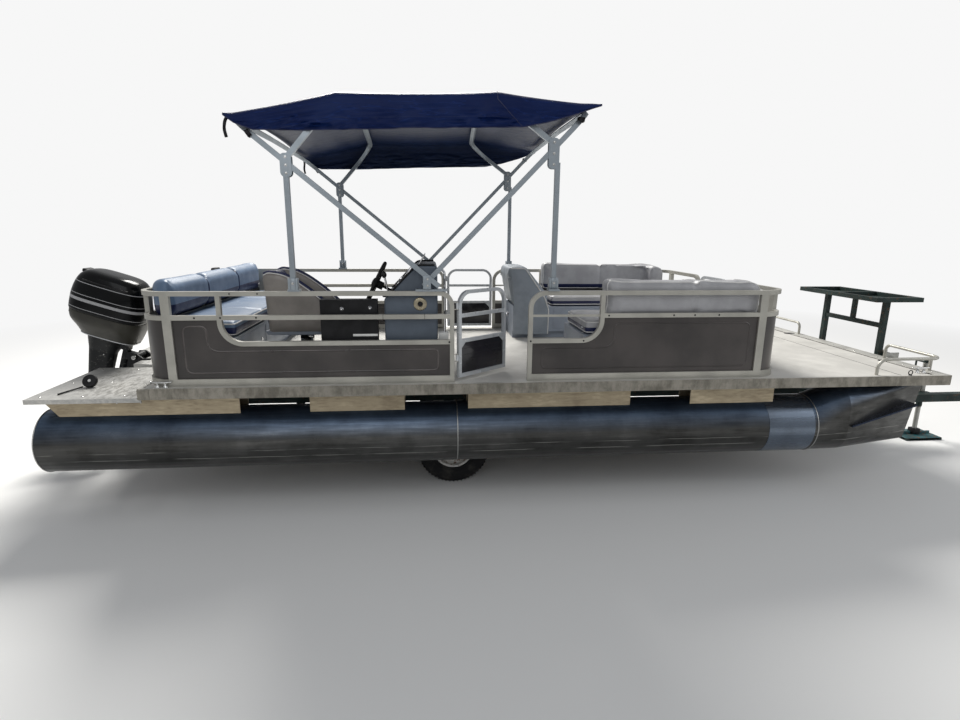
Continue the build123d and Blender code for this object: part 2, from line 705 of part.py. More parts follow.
chair_half = 245.0
chair_back = -262.0
with BuildPart() as helm_chair:
    rod((chair_x, chair_y, chair_floor), (chair_x, chair_y, chair_floor + 62), post_r + 14)
    rod((chair_x, chair_y, chair_floor), (chair_x, chair_y, chair_floor + 60), post_r + socket_play,
        mode=Mode.SUBTRACT)
    with BuildSketch(Plane.XZ.offset(-chair_y - chair_half)) as bucket:
        Polygon(
            (chair_x + chair_back + 30, chair_floor + 60),
            (chair_x + 235, chair_floor + 60),
            (chair_x + 262, chair_floor + 100),
            (chair_x + 262, chair_floor + 220),
            (chair_x + 200, chair_floor + 300),
            (chair_x - 120, chair_floor + 535),
            (chair_x + chair_back + 10, chair_floor + 540),
            (chair_x + chair_back, chair_floor + 480),
            align=None,
        )
    extrude(bucket.sketch, amount=2 * chair_half)
    with BuildSketch(Plane.XZ.offset(-chair_y - chair_half + 75)) as hollow:
        Polygon(
            (chair_x + 300, chair_floor + 190),
            (chair_x - 110, chair_floor + 180),
            (chair_x - 175, chair_floor + 700),
            (chair_x + 300, chair_floor + 700),
            align=None,
        )
    extrude(hollow.sketch, amount=2 * chair_half - 150, mode=Mode.SUBTRACT)
write(helm_chair.part, "helm_chair")

# Console with a sloped dash and a bearing for the steering wheel
dash = [(1690, 0), (1690, 610), (1735, 640), (1925, 838), (2070, 838), (2070, 0)]
console_near, console_far = -fence_y + rail / 2 + 25, -470.0
wheel_tilt = 26.0
wheel_centre = Vector(at(1610), console_near + 309, deck_z + 690)
wheel_axis = Vector(-cos(radians(wheel_tilt)), 0, sin(radians(wheel_tilt)))
shaft_r = 10.0
shaft_play = 0.05
with BuildPart() as console:
    with BuildSketch(Plane.XZ.offset(-console_far)) as dash_side:
        Polygon(*[(at(station), deck_z + up) for station, up in dash], align=None)
    extrude(dash_side.sketch, amount=console_far - console_near)
    boss_end = wheel_centre - wheel_axis * 60
    rod(wheel_centre - wheel_axis * 200, boss_end, 32)
    rod(wheel_centre - wheel_axis * 150, boss_end, shaft_r + shaft_play, mode=Mode.SUBTRACT)
write(console.part, "console")

wheel_r = 165.0
grip_r = 13.0
with BuildPart() as steering_wheel:
    wheel_plane = Plane(origin=wheel_centre, x_dir=(0, 1, 0), z_dir=wheel_axis)
    with Locations(wheel_plane):
        Torus(wheel_r, grip_r)
    rod(wheel_centre - wheel_axis * 59, wheel_centre + wheel_axis * 10, 30)
    rod(wheel_centre - wheel_axis * 149, wheel_centre - wheel_axis * 40, shaft_r)
    for turn in (90, 210, 330):
        out = Vector(1, 0, 0).rotate(Axis.Z, turn)
        spoke = wheel_plane.from_local_coords(out * (wheel_r - 2))
        rod(tuple(wheel_centre), tuple(spoke), 9)
write(steering_wheel.part, "steering_wheel")

with BuildPart() as storage_box:
    block(at(1240), at(1640), console_near + 3, console_near + 83, deck_z, deck_z + 600)
write(storage_box.part, "storage_box")

# Bow rails: low tubes round the deck's front corners
low_tube = 25.0
low_rise = 125.0
bow_rail_inset = 42.0
bow_rail_run = 548.0
with BuildPart() as bow_rails:
    for side in sides.values():
        y = side * (half_width - 62)
        level = deck_z + low_rise
        front = at(deck_length - bow_rail_inset)
        foot_x = front - bow_rail_run
        with BuildLine() as path:
            FilletPolyline((foot_x, y, deck_z), (foot_x, y, level), (front, y, level),
                           (front, side * 595, level), (front, side * 595, deck_z),
                           radius=[80, 90, 50])
        with BuildSketch(Plane(origin=(foot_x, y, deck_z))) as section:
            Circle(low_tube / 2)
        sweep(section.sketch, path=path.wire())
        rod((front, side * 1055, deck_z), (front, side * 1055, level), low_tube / 2)
write(bow_rails.part, "bow_rails")

# Cleats: horns on two feet near the deck's corners
with BuildPart() as cleats:
    for side, stations in ((-1, (145, deck_length - 170)), (1, (145, deck_length - 900, deck_length - 170))):
        for station in stations:
            y = side * (half_width - (110 if station > fence_front else 40))
            for foot in (-28, 28):
                block(at(station) + foot - 9, at(station) + foot + 9, y - 8, y + 8, deck_z, deck_z + 34)
            rod((at(station) - 70, y, deck_z + 36), (at(station) + 70, y, deck_z + 36), 8)
write(cleats.part, "cleats")

# Outboard motor, built upright behind the transom and then turned about the tilt tube
pivot = Vector(transom_x - tilt_pivot_back, 0, transom_top + tilt_pivot_up)
steer_x = pivot.X - steer_back
tilt_axis = Axis(tuple(pivot), (0, 1, 0))


def below(drop):
    return pivot.Z - drop


clamp_inner = swivel_half + clamp_gap
clamp_outer = clamp_inner + clamp_plate
with BuildPart() as clamp_bracket:
    for side in sides.values():
        near, far = sorted((side * clamp_inner, side * clamp_outer))
        with BuildSketch(Plane.XZ.offset(-far)) as cheek:
            Polygon(
                (pivot.X - 40, below(-28)),
                (pivot.X + 20, below(-28)),
                (transom_x + 8, below(12)),
                (transom_x + 70, below(12)),
                (transom_x + 70, below(tilt_pivot_up)),
                (transom_x, below(tilt_pivot_up)),
                (transom_x, below(370)),
                (transom_x - 40, below(370)),
                (pivot.X - 40, below(120)),
                align=None,
            )
        extrude(cheek.sketch, amount=far - near)
    rod((pivot.X, -clamp_outer - 8, pivot.Z), (pivot.X, clamp_outer + 8, pivot.Z), tilt_tube_r)
    block(transom_x - 14, transom_x, -clamp_inner, clamp_inner, below(365), below(300))
write(clamp_bracket.part, "clamp_bracket")

barrel_play = 0.05
steer_tube_r = 32.0
swivel_top = 20.0
swivel_drop = 300.0
with BuildPart() as swivel_bracket:
    rod((pivot.X, -swivel_half, pivot.Z), (pivot.X, swivel_half, pivot.Z), barrel_r)
    block(steer_x, pivot.X, -30, 30, below(60), below(-12))
    with BuildSketch(Plane.XZ.offset(-14)) as web:
        Polygon((steer_x, below(0)), (pivot.X, below(0)), (pivot.X + 8, below(60)), (steer_x, below(250)),
                align=None)
    extrude(web.sketch, amount=28)
    rod((steer_x, 0, below(swivel_drop)), (steer_x, 0, below(-swivel_top)), steer_tube_r)
    rod((pivot.X, -swivel_half, pivot.Z), (pivot.X, swivel_half, pivot.Z), tilt_tube_r + barrel_play,
        mode=Mode.SUBTRACT)
    rod((steer_x, 0, below(swivel_drop)), (steer_x, 0, below(-swivel_top)), kingpin_r + barrel_play,
        mode=Mode.SUBTRACT)
write(swivel_bracket.part.rotate(tilt_axis, stored_tilt), "swivel_bracket")

# Drive leg: yokes on the kingpin, the exhaust housing, both plates, the gearcase and the skeg
yoke_gap = 1.0
shaft_z = below(prop_axis_drop)
# drop below the pivot, front face and back face measured behind the steering axis, half width
leg_stations = [(cushion_gap - cowl_low, 20, 330, 105), (40, 74, 300, 66), (plate_drop - 30, 76, 230, 40)]
gear_x = steer_x - 150
nose_r = gearcase_r * 0.86
with BuildPart() as drive_leg:
    leg_faces = []
    for drop, front, back, half in leg_stations:
        with BuildSketch(Plane(origin=(steer_x - (front + back) / 2, 0, below(drop)))) as face:
            RectangleRounded(back - front, 2 * half, half * 0.9)
        leg_faces.append(face.sketch)
    loft(leg_faces, ruled=True)
    yoke_high = below(-swivel_top - yoke_gap)
    block(steer_x - 90, steer_x + 24, -40, 40, yoke_high, yoke_high + 42)
    yoke_low = below(swivel_drop + yoke_gap)
    block(steer_x - 110, steer_x + 24, -30, 30, yoke_low - 42, yoke_low)
    rod((steer_x, 0, yoke_low - 1), (steer_x, 0, yoke_high + 1), kingpin_r)
    with BuildSketch(Plane(origin=(steer_x - 190, 0, below(plate_drop)))) as vent_plate:
        SlotOverall(400, 190)
    extrude(vent_plate.sketch, amount=10)
    strut_faces = []
    for drop, front, back, half in ((plate_drop - 36, 84, 222, 32), (prop_axis_drop, 66, 244, 18)):
        with BuildSketch(Plane(origin=(steer_x - (front + back) / 2, 0, below(drop)))) as face:
            RectangleRounded(back - front, 2 * half, half * 0.9)
        strut_faces.append(face.sketch)
    loft(strut_faces, ruled=True)
    with BuildSketch(Plane(origin=(gear_x, 0, shaft_z), x_dir=(1, 0, 0), z_dir=(0, -1, 0))) as torpedo:
        with BuildLine():
            Line((-200, 0), (-200, gearcase_r - 10))
            Line((-200, gearcase_r - 10), (60, gearcase_r))
            Line((60, gearcase_r), (130, nose_r))
            ThreePointArc((130, nose_r), (130 + nose_r * sqrt(0.5), nose_r * sqrt(0.5)), (130 + nose_r, 0))
            Line((130 + nose_r, 0), (-200, 0))
        make_face()
    revolve(torpedo.sketch, axis=Axis((gear_x, 0, shaft_z), (1, 0, 0)))
    with BuildSketch(Plane.XZ.offset(-6)) as skeg:
        Polygon((gear_x + 60, shaft_z), (gear_x - 150, shaft_z), (gear_x - 165, shaft_z - 190),
                (gear_x - 90, shaft_z - 200), align=None)
    extrude(skeg.sketch, amount=12)
    rod((gear_x - 340, 0, shaft_z), (gear_x - 190, 0, shaft_z), prop_shaft_r)
write(drive_leg.part.rotate(tilt_axis, stored_tilt), "drive_leg")

# Cowl: a hollow shell over the engine block
# height over the pivot, front and back behind the pivot, half width
cowl_back = 10 + cowl_length
cowl_half = cowl_width / 2
cowl_sections = [(cowl_low, 30, cowl_back - 120, cowl_half - 70), (200, 10, cowl_back - 10, cowl_half - 15),
                 (430, 12, cowl_back, cowl_half), (590, 60, cowl_back - 40, cowl_half - 20),
                 (cowl_high, 150, cowl_back - 130, cowl_half - 80)]


def cowl_form(inset):
    faces = []
    for rise, front, back, half in cowl_sections:
        if rise == cowl_high:
            rise -= inset
        length = back - front - 2 * inset
        with BuildSketch(Plane(origin=(pivot.X - (front + back) / 2, 0, pivot.Z + rise))) as face:
            RectangleRounded(length, 2 * (half - inset), (half - inset) * 0.62)
        faces.append(face.sketch)
    loft(faces, ruled=True, mode=Mode.SUBTRACT if inset else Mode.ADD)


with BuildPart() as cowl:
    cowl_form(0)
    cowl_form(cowl_wall)
    with BuildSketch(Plane(origin=(pivot.X - 255, 0, below(-cowl_low)))) as tray:
        RectangleRounded(2 * cowl_wall + 420, 250, 75)
    extrude(tray.sketch, amount=cowl_wall)
write(cowl.part.rotate(tilt_axis, stored_tilt), "cowl")

with BuildPart() as powerhead:
    block(pivot.X - 430, pivot.X - 100, -115, 115, below(-cowl_low - cowl_wall), below(-cowl_low - cowl_wall - 400))
write(powerhead.part.rotate(tilt_axis, stored_tilt), "powerhead")

# Propeller: three pitched blades on a hub that runs on the shaft
hub_length = 110.0
hub_front = gear_x - 206.0
blade_pitch = 55.0
blade_thick = 7.0
blade_width = 104.0
with BuildPart() as propeller:
    hub_middle = Vector(hub_front - hub_length / 2, 0, shaft_z)
    rod((hub_front - hub_length, 0, shaft_z), (hub_front, 0, shaft_z), prop_hub_r)
    for turn in (0, 120, 240):
        outward = Vector(0, 0, 1).rotate(Axis.X, turn)
        face_way = Vector(1, 0, 0).rotate(Axis((0, 0, 0), tuple(outward)), 90 - blade_pitch)
        with BuildSketch(Plane(origin=hub_middle, x_dir=outward, z_dir=face_way)) as blade:
            blade_root = prop_hub_r - 14
            with Locations(((blade_root + prop_r) / 2, 0)):
                RectangleRounded(prop_r - blade_root, blade_width, blade_width * 0.48)
        extrude(blade.sketch, amount=blade_thick / 2, both=True)
    rod((hub_front - hub_length, 0, shaft_z), (hub_front, 0, shaft_z), prop_shaft_r + shaft_play,
        mode=Mode.SUBTRACT)
write(propeller.part.rotate(tilt_axis, stored_tilt), "propeller")

# Trailer frame: two rails that close to a tongue, cross beams and a light bar
rail_mid = frame_rail_low + frame_rail_h / 2
rail_top = frame_rail_low + frame_rail_h
frame_aft, frame_bend = -100, 5250
rail_inner = frame_rail_y - frame_rail_w / 2
rail_outer = frame_rail_y + frame_rail_w / 2
cross_beams = (0, 1300, 3400, 5180)
light_bar_half = track_half + 40.0
link_r = 14.0
link_wire = 4.0
chain_at = 7640
chain_y = tongue_size / 2 + link_r + link_wire + 1
chain_top = rail_mid - 10
chain_hook_r = 5.0
with BuildPart() as trailer_frame:
    hook_z = chain_top + link_r - link_wire - chain_hook_r - 0.2
    rod((at(chain_at), -chain_y - 9, hook_z), (at(chain_at), chain_y + 9, hook_z), chain_hook_r)
    for side in sides.values():
        block(at(frame_aft), at(frame_bend), side * rail_inner, side * rail_outer, frame_rail_low, rail_top)
        bar([(at(frame_bend - 20), side * frame_rail_y, rail_mid), (at(tongue_join), side * tongue_size / 2, rail_mid)],
            frame_rail_w, (0, 0, 1), height=frame_rail_h)
    for station in cross_beams:
        block(at(station), at(station + 60), -rail_inner, rail_inner, frame_rail_low + 10, rail_top - 10)
    block(at(5180), at(tongue_end - 120), -tongue_size / 2, tongue_size / 2,
          rail_mid - tongue_size / 2, rail_mid + tongue_size / 2)
    block(at(frame_aft - 50), at(frame_aft), -light_bar_half, light_bar_half, rail_mid - 25, rail_mid + 25)
write(trailer_frame.part, "trailer_frame")

with BuildPart() as tail_lamps:
    for side in sides.values():
        block(at(frame_aft - 90), at(frame_aft - 50), side * light_bar_half, side * (light_bar_half - 150),
              rail_mid - 45, rail_mid + 45)
write(tail_lamps.part, "tail_lamps")

# Axle: a tube with spring seats under the frame and a spindle for each wheel
axle_tube_r = 30.0
spindle_end = track_half + 52
with BuildPart() as axle:
    rod((at(axle_at), 30 - track_half + tyre_width / 2, tyre_r), (at(axle_at), track_half - tyre_width / 2 - 30, tyre_r),
        axle_tube_r)
    rod((at(axle_at), -spindle_end, tyre_r), (at(axle_at), spindle_end, tyre_r), spindle_r)
    for side in sides.values():
        block(at(axle_at) - 50, at(axle_at) + 50, side * rail_inner, side * rail_outer, tyre_r, frame_rail_low)
write(axle.part, "axle")

# Fenders: an arched sheet over each tyre with brackets to the frame
fender_r = tyre_r + 36
fender_thick = 5.0
fender_half = tyre_width / 2 - 2
with BuildPart() as fenders:
    for side in sides.values():
        y = side * track_half
        with BuildSketch(Plane.XZ.offset(-y - fender_half)) as arch_side:
            with Locations((at(axle_at), tyre_r)):
                Circle(fender_r + fender_thick)
                Circle(fender_r, mode=Mode.SUBTRACT)
            with Locations((at(axle_at), tyre_r - fender_r + 100)):
                Rectangle(3 * fender_r, 2 * fender_r, mode=Mode.SUBTRACT)
        extrude(arch_side.sketch, amount=2 * fender_half)
        for end in (-1, 1):
            foot_x = at(axle_at) + end * (fender_r - 14)
            block(foot_x, foot_x + end * 40, side * rail_outer, y + side * fender_half,
                  tyre_r + 100, tyre_r + 100 + 2 * fender_thick)
write(fenders.part, "fenders")

# Wheels: a tyre on a dished rim whose hub turns on the spindle
for side_name, side in sides.items():
    y = side * track_half
    with BuildPart() as tyre:
        with BuildSketch(Plane.XY) as profile:
            with BuildLine():
                half = tyre_width / 2
                Polyline((rim_r, -half + 22), (rim_r, half - 22), (rim_r + 30, half - 6))
                ThreePointArc((rim_r + 30, half - 6), (rim_r + 70, half), (tyre_r - 24, half - 12))
                Polyline((tyre_r - 24, half - 12), (tyre_r, half - 34), (tyre_r, 34 - half), (tyre_r - 24, 12 - half))
                ThreePointArc((tyre_r - 24, 12 - half), (rim_r + 70, -half), (rim_r + 30, 6 - half))
                Line((rim_r + 30, 6 - half), (rim_r, -half + 22))
            make_face()
        revolve(profile.sketch, axis=Axis.Y)
    write(tyre.part.moved(Location((at(axle_at), y, tyre_r))), f"tyre_{side_name}")
    with BuildPart() as rim:
        with BuildSketch(Plane.XY) as profile:
            with BuildLine():
                bore = spindle_r + wheel_play
                face_y = side * 18
                Polyline((bore, -side * 40), (bore, side * 48), (42, side * 48), (48, face_y + side * 12),
                         (100, face_y + side * 24), (rim_r - 16, face_y), (rim_r - 16, side * 66), (rim_r, side * 66),
                         (rim_r, -side * 66), (rim_r - 8, -side * 66), (rim_r - 8, face_y - side * 10),
                         (100, face_y + side * 14), (48, face_y), (42, -side * 40), (bore, -side * 40))
            make_face()
        revolve(profile.sketch, axis=Axis.Y)
    write(rim.part.moved(Location((at(axle_at), y, tyre_r))), f"rim_{side_name}")

# Lift frame: two upper rails under the cross members, with bunks on top
lift_top = cross_low - bunk_thick
lift_low = lift_top - lift_rail_h
lift_inner = lift_rail_y - frame_rail_w / 2
lift_outer = lift_rail_y + frame_rail_w / 2
with BuildPart() as lift_frame:
    for side in sides.values():
        block(at(lift_start), at(lift_end), side * lift_inner, side * lift_outer, lift_low, lift_top)
    for station in lift_crosses:
        block(at(station), at(station + 50), -lift_inner, lift_inner, lift_low + 10, lift_top - 10)
write(lift_frame.part, "lift_frame")

with BuildPart() as bunks:
    for side in sides.values():
        block(at(lift_start - 40), at(lift_end + 50), side * (lift_rail_y - bunk_width / 2), side * (lift_rail_y + bunk_width / 2),
              lift_top, cross_low)
write(bunks.part, "bunks")

# Lift arms: flat links pinned to the frame below and the lift frame above
arm_run = 320.0
arm_pin_r = 16.0
arm_high = lift_low + lift_rail_h / 2
arm_inner = (rail_outer + lift_inner) / 2 - arm_thick / 2
with BuildPart() as lift_arms:
    for side in sides.values():
        middle = side * (arm_inner + arm_thick / 2)
        for station in (760, 2750, 4400):
            lower, upper = (at(station), middle, rail_mid), (at(station) + arm_run, middle, arm_high)
            bar([lower, upper], arm_thick, (arm_high - rail_mid, 0, -arm_run), height=arm_width)
            rod((lower[0], side * rail_outer, rail_mid), (lower[0], middle, rail_mid), arm_pin_r)
            rod((upper[0], side * lift_inner, arm_high), (upper[0], middle, arm_high), arm_pin_r)
write(lift_arms.part, "lift_arms")

# Tongue jack: an outer tube clamped to the tongue, an inner tube, and a broad foot plate on the ground
jack_y = tongue_size / 2 + 42
with BuildPart() as jack:
    rod((at(jack_at), jack_y, rail_mid - 120), (at(jack_at), jack_y, rail_mid + 380), 28)
    rod((at(jack_at), jack_y, 24), (at(jack_at), jack_y, rail_mid - 110), 21)
    block(at(jack_at) - 60, at(jack_at) + 60, tongue_size / 2, jack_y, rail_mid - 40, rail_mid + 40)
    block(at(jack_at) - 34, at(jack_at) + 34, jack_y - 34, jack_y + 34, 24, 60)
    block(at(jack_at) - 200, at(jack_at) + 200, jack_y - 140, jack_y + 140, 0, 25)
    rod((at(jack_at), jack_y, rail_mid + 350), (at(jack_at), jack_y + 130, rail_mid + 350), 9)
    rod((at(jack_at), jack_y + 124, rail_mid + 350), (at(jack_at), jack_y + 124, rail_mid + 250), 9)
write(jack.part, "jack")

# Coupler: a socket over the tow ball at the tongue's end
ball_r = 25.4
coupler_nose = 8060.0
with BuildPart() as coupler:
    block(at(tongue_end - 120), at(coupler_nose - 60), -38, 38, rail_mid - 30, rail_mid + 34)
    with BuildSketch(Plane.XY.offset(rail_mid - 30)) as nose:
        with Locations((at(coupler_nose - 60), 0)):
            Circle(52)
    extrude(nose.sketch, amount=78)
    block(at(7900), at(7980), -10, 10, rail_mid + 34, rail_mid + 62)
    with Locations((at(coupler_nose - 60), 0, rail_mid - 12)):
        Sphere(ball_r + 1, mode=Mode.SUBTRACT)
    rod((at(coupler_nose - 60), 0, rail_mid - 40), (at(coupler_nose - 60), 0, rail_mid - 12), ball_r + 1,
        mode=Mode.SUBTRACT)
write(coupler.part, "coupler")

# Safety chains: round links that hang from both sides of the tongue
link_step = 2 * (link_r - link_wire) + 0.4
link_count = 9
with BuildPart() as safety_chains:
    for side in sides.values():
        y = side * chain_y
        for index in range(link_count):
            facing = (0, 90, 0) if index % 2 else (90, 0, 0)
            with Locations(Location((at(chain_at), y, chain_top - index * link_step), facing)):
                Torus(link_r, link_wire)
write(safety_chains.part, "safety_chains")

# Bow stand: two legs on a foot beam across the tongue rails, a tie beam, a middle post and an open two bay tray
leg_half = stand_tube / 2
tray_low = deck_z + tray_rise - 40
tray_aft = stand_at - tray_depth / 2
with BuildPart() as bow_stand:
    block(at(stand_at) - leg_half, at(stand_at) + leg_half, -stand_leg_y - leg_half, stand_leg_y + leg_half,
          rail_top, rail_top + stand_tube)
    for side in sides.values():
        block(at(stand_at) - leg_half, at(stand_at) + leg_half, side * stand_leg_y - leg_half,
              side * stand_leg_y + leg_half, rail_top, tray_low)
    block(at(stand_at) - leg_half + 4, at(stand_at) + leg_half - 4, -stand_leg_y, stand_leg_y,
          deck_z + 235, deck_z + 275)
    block(at(stand_at) - 18, at(stand_at) + 18, -18, 18, deck_z + 270, tray_low)
    block(at(tray_aft), at(tray_aft + tray_depth), -tray_length / 2, tray_length / 2, tray_low, tray_low + 40)
    for side in sides.values():
        block(at(tray_aft + 40), at(tray_aft + tray_depth - 40), side * 20, side * (tray_length / 2 - 40),
              tray_low + 4, tray_low + 40, mode=Mode.SUBTRACT)
write(bow_stand.part, "bow_stand")

# Winch on the stand's starboard leg: two cheeks, a drum and a crank
winch_z = deck_z - 40
winch_x = at(stand_at) + leg_half + 75
with BuildPart() as winch:
    block(at(stand_at) + leg_half, at(stand_at) + leg_half + 8, -stand_leg_y - 70, -stand_leg_y + 70,
          winch_z - 60, winch_z + 60)
    for edge in (-70, 62):
        block(at(stand_at) + leg_half, winch_x + 50, -stand_leg_y + edge, -stand_leg_y + edge + 8,
              winch_z - 55, winch_z + 55)
    rod((winch_x, -stand_leg_y - 70, winch_z), (winch_x, -stand_leg_y + 70, winch_z), 34)
    rod((winch_x, -stand_leg_y - 100, winch_z), (winch_x, -stand_leg_y - 62, winch_z), 11)
    block(winch_x - 12, winch_x + 12, -stand_leg_y - 104, -stand_leg_y - 96, winch_z - 180, winch_z + 14)
    rod((winch_x, -stand_leg_y - 200, winch_z - 170), (winch_x, -stand_leg_y - 98, winch_z - 170), 13)
write(winch.part, "winch")
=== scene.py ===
# A pontoon boat on its trailer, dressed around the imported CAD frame. Metres, +X to the bow, +Y to port.
import bpy
import bmesh
import json
from math import atan2, cos, pi, radians, sin, sqrt
from mathutils import Matrix, Vector, noise


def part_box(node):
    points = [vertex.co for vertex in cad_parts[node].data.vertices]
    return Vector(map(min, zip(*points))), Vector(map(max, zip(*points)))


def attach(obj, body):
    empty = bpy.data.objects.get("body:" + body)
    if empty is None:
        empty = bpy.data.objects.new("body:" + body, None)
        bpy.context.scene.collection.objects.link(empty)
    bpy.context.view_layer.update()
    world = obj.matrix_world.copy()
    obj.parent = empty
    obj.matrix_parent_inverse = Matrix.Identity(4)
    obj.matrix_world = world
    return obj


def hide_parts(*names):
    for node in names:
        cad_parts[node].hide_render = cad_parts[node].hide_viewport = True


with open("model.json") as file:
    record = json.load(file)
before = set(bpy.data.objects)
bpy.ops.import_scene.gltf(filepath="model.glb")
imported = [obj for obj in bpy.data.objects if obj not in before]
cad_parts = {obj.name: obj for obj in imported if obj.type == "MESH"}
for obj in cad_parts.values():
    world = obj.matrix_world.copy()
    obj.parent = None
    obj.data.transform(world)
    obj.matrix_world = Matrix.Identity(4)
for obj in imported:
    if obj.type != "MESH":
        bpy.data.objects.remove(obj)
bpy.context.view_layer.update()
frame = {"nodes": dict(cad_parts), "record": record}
nodes = frame["nodes"]
slots = {part["node"]: part["material_slot"] for part in frame["record"]["subparts"]}
nodeBody = {node: body for body, members in frame["record"]["behaviour"]["bodies"].items() for node in members}
scene = bpy.context.scene
scene.view_settings.view_transform = "Standard"

# Places that the pieces share, read from the frame
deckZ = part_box("deck_board")[1].z
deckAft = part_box("deck_trim")[0].x
fenceLow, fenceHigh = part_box("fence_starboard_aft")
rail = 0.032
fenceY = -fenceLow.y - rail / 2
fenceTop = fenceHigh.z


# stations run forward from the deck's aft edge, and heights up from the deck
def at(station):
    return deckAft + station


def up(height):
    return deckZ + height


def aboard(station, y, height):
    return at(station), y, up(height)


print("frame loaded", len(nodes), "nodes")

# Materials


def node(tree, kind, inputs=None, **settings):
    made = tree.nodes.new(kind)
    for name, value in settings.items():
        setattr(made, name, value)
    for name, value in (inputs or {}).items():
        if isinstance(value, bpy.types.NodeSocket):
            tree.links.new(value, made.inputs[name])
        else:
            made.inputs[name].default_value = value
    return made


# a material with its tree, its shader and the Object coordinates that its patterns read
def newMaterial(name, **look):
    made = bpy.data.materials.new(name)
    made.use_nodes = True
    tree = made.node_tree
    tree.nodes.clear()
    out = node(tree, "ShaderNodeOutputMaterial")
    shader = node(tree, "ShaderNodeBsdfPrincipled")
    tree.links.new(shader.outputs["BSDF"], out.inputs["Surface"])
    for socket, value in look.items():
        shader.inputs[socket.replace("_", " ")].default_value = value
    return made, tree, shader, node(tree, "ShaderNodeTexCoord").outputs["Object"]


def noiseField(tree, coords, scale, stretch=(1, 1, 1), detail=4.0, rough=0.55):
    mapped = node(tree, "ShaderNodeMapping", {"Vector": coords, "Scale": stretch})
    field = node(tree, "ShaderNodeTexNoise",
                 {"Vector": mapped.outputs["Vector"], "Scale": scale, "Detail": detail, "Roughness": rough})
    return field.outputs["Fac"]


# stops are pairs of a place and a colour, or a place and one number for a grey
def ramp(tree, fac, *stops, smooth="EASE"):
    made = node(tree, "ShaderNodeValToRGB", {"Fac": fac})
    made.color_ramp.interpolation = smooth
    while len(made.color_ramp.elements) < len(stops):
        made.color_ramp.elements.new(0.5)
    for element, (place, colour) in zip(made.color_ramp.elements, stops):
        element.position = place
        element.color = (*((colour,) * 3 if isinstance(colour, float) else colour), 1)
    return made.outputs["Color"]


def mixColours(tree, fac, first, second):
    made = tree.nodes.new("ShaderNodeMix")
    made.data_type = "RGBA"
    for socket, value in ((made.inputs[0], fac), (made.inputs[6], first), (made.inputs[7], second)):
        if isinstance(value, bpy.types.NodeSocket):
            tree.links.new(value, socket)
        else:
            socket.default_value = (*value, 1)
    return made.outputs[2]


def sums(tree, operation, first, second=0.0, clamp=False):
    made = node(tree, "ShaderNodeMath", {0: first, 1: second}, operation=operation)
    made.use_clamp = clamp
    return made.outputs[0]


def blendOf(tree, first, second, share):
    return sums(tree, "ADD", sums(tree, "MULTIPLY", first, share), sums(tree, "MULTIPLY", second, 1 - share))


# one axis of a vector
def axisOf(tree, vector, axis):
    return node(tree, "ShaderNodeSeparateXYZ", {"Vector": vector}).outputs[axis]


def bump(tree, shader, height, strength, distance, normal=None):
    made = node(tree, "ShaderNodeBump", {"Height": height, "Strength": strength, "Distance": distance})
    if normal:
        tree.links.new(normal, made.inputs["Normal"])
    tree.links.new(made.outputs["Normal"], shader.inputs["Normal"])
    return made.outputs["Normal"]


def dress(tree, shader, colour, rough=None):
    tree.links.new(colour, shader.inputs["Base Color"])
    if rough:
        tree.links.new(rough, shader.inputs["Roughness"])


# 1 between low and high and 0 outside, with edges as wide as soft
def band(tree, value, low, high, soft=0.001):
    rise = node(tree, "ShaderNodeMapRange", {"Value": value, "From Min": low - soft, "From Max": low + soft})
    fall = node(tree, "ShaderNodeMapRange", {"Value": value, "From Min": high + soft, "From Max": high - soft})
    return sums(tree, "MULTIPLY", rise.outputs[0], fall.outputs[0])


# the bands of several pairs of a low and a high, as one mask
def bandsOf(tree, value, pairs, soft=0.001):
    mask = band(tree, value, *pairs[0], soft)
    for low, high in pairs[1:]:
        mask = sums(tree, "ADD", mask, band(tree, value, low, high, soft), clamp=True)
    return mask


def spread(colour, factor):
    return [min(1.0, value * factor) for value in colour]


# Bare or weathered metal: streaks along one way, clouds of dull oxide and a fine grain
def metalLook(name, colour, dark, rough, streak=(1, 1, 1), scale=8.0, metallic=0.9, grain=0.35, patches=0.5):
    made, tree, shader, coords = newMaterial(name, Metallic=metallic)
    clouds = noiseField(tree, coords, scale * 0.35, detail=6)
    streaks = noiseField(tree, coords, scale * 5, stretch=streak, detail=5)
    fine = noiseField(tree, coords, 420, detail=2)
    middle = [0.5 * (a + b) for a, b in zip(colour, dark)]
    colours = ramp(tree, blendOf(tree, clouds, streaks, patches), (0.36, dark), (0.52, middle), (0.64, colour))
    dress(tree, shader, colours, ramp(tree, streaks, (0.3, rough * 1.35), (0.7, rough * 0.75)))
    bump(tree, shader, sums(tree, "ADD", streaks, sums(tree, "MULTIPLY", fine, 0.4)), grain, 0.0015)
    return made


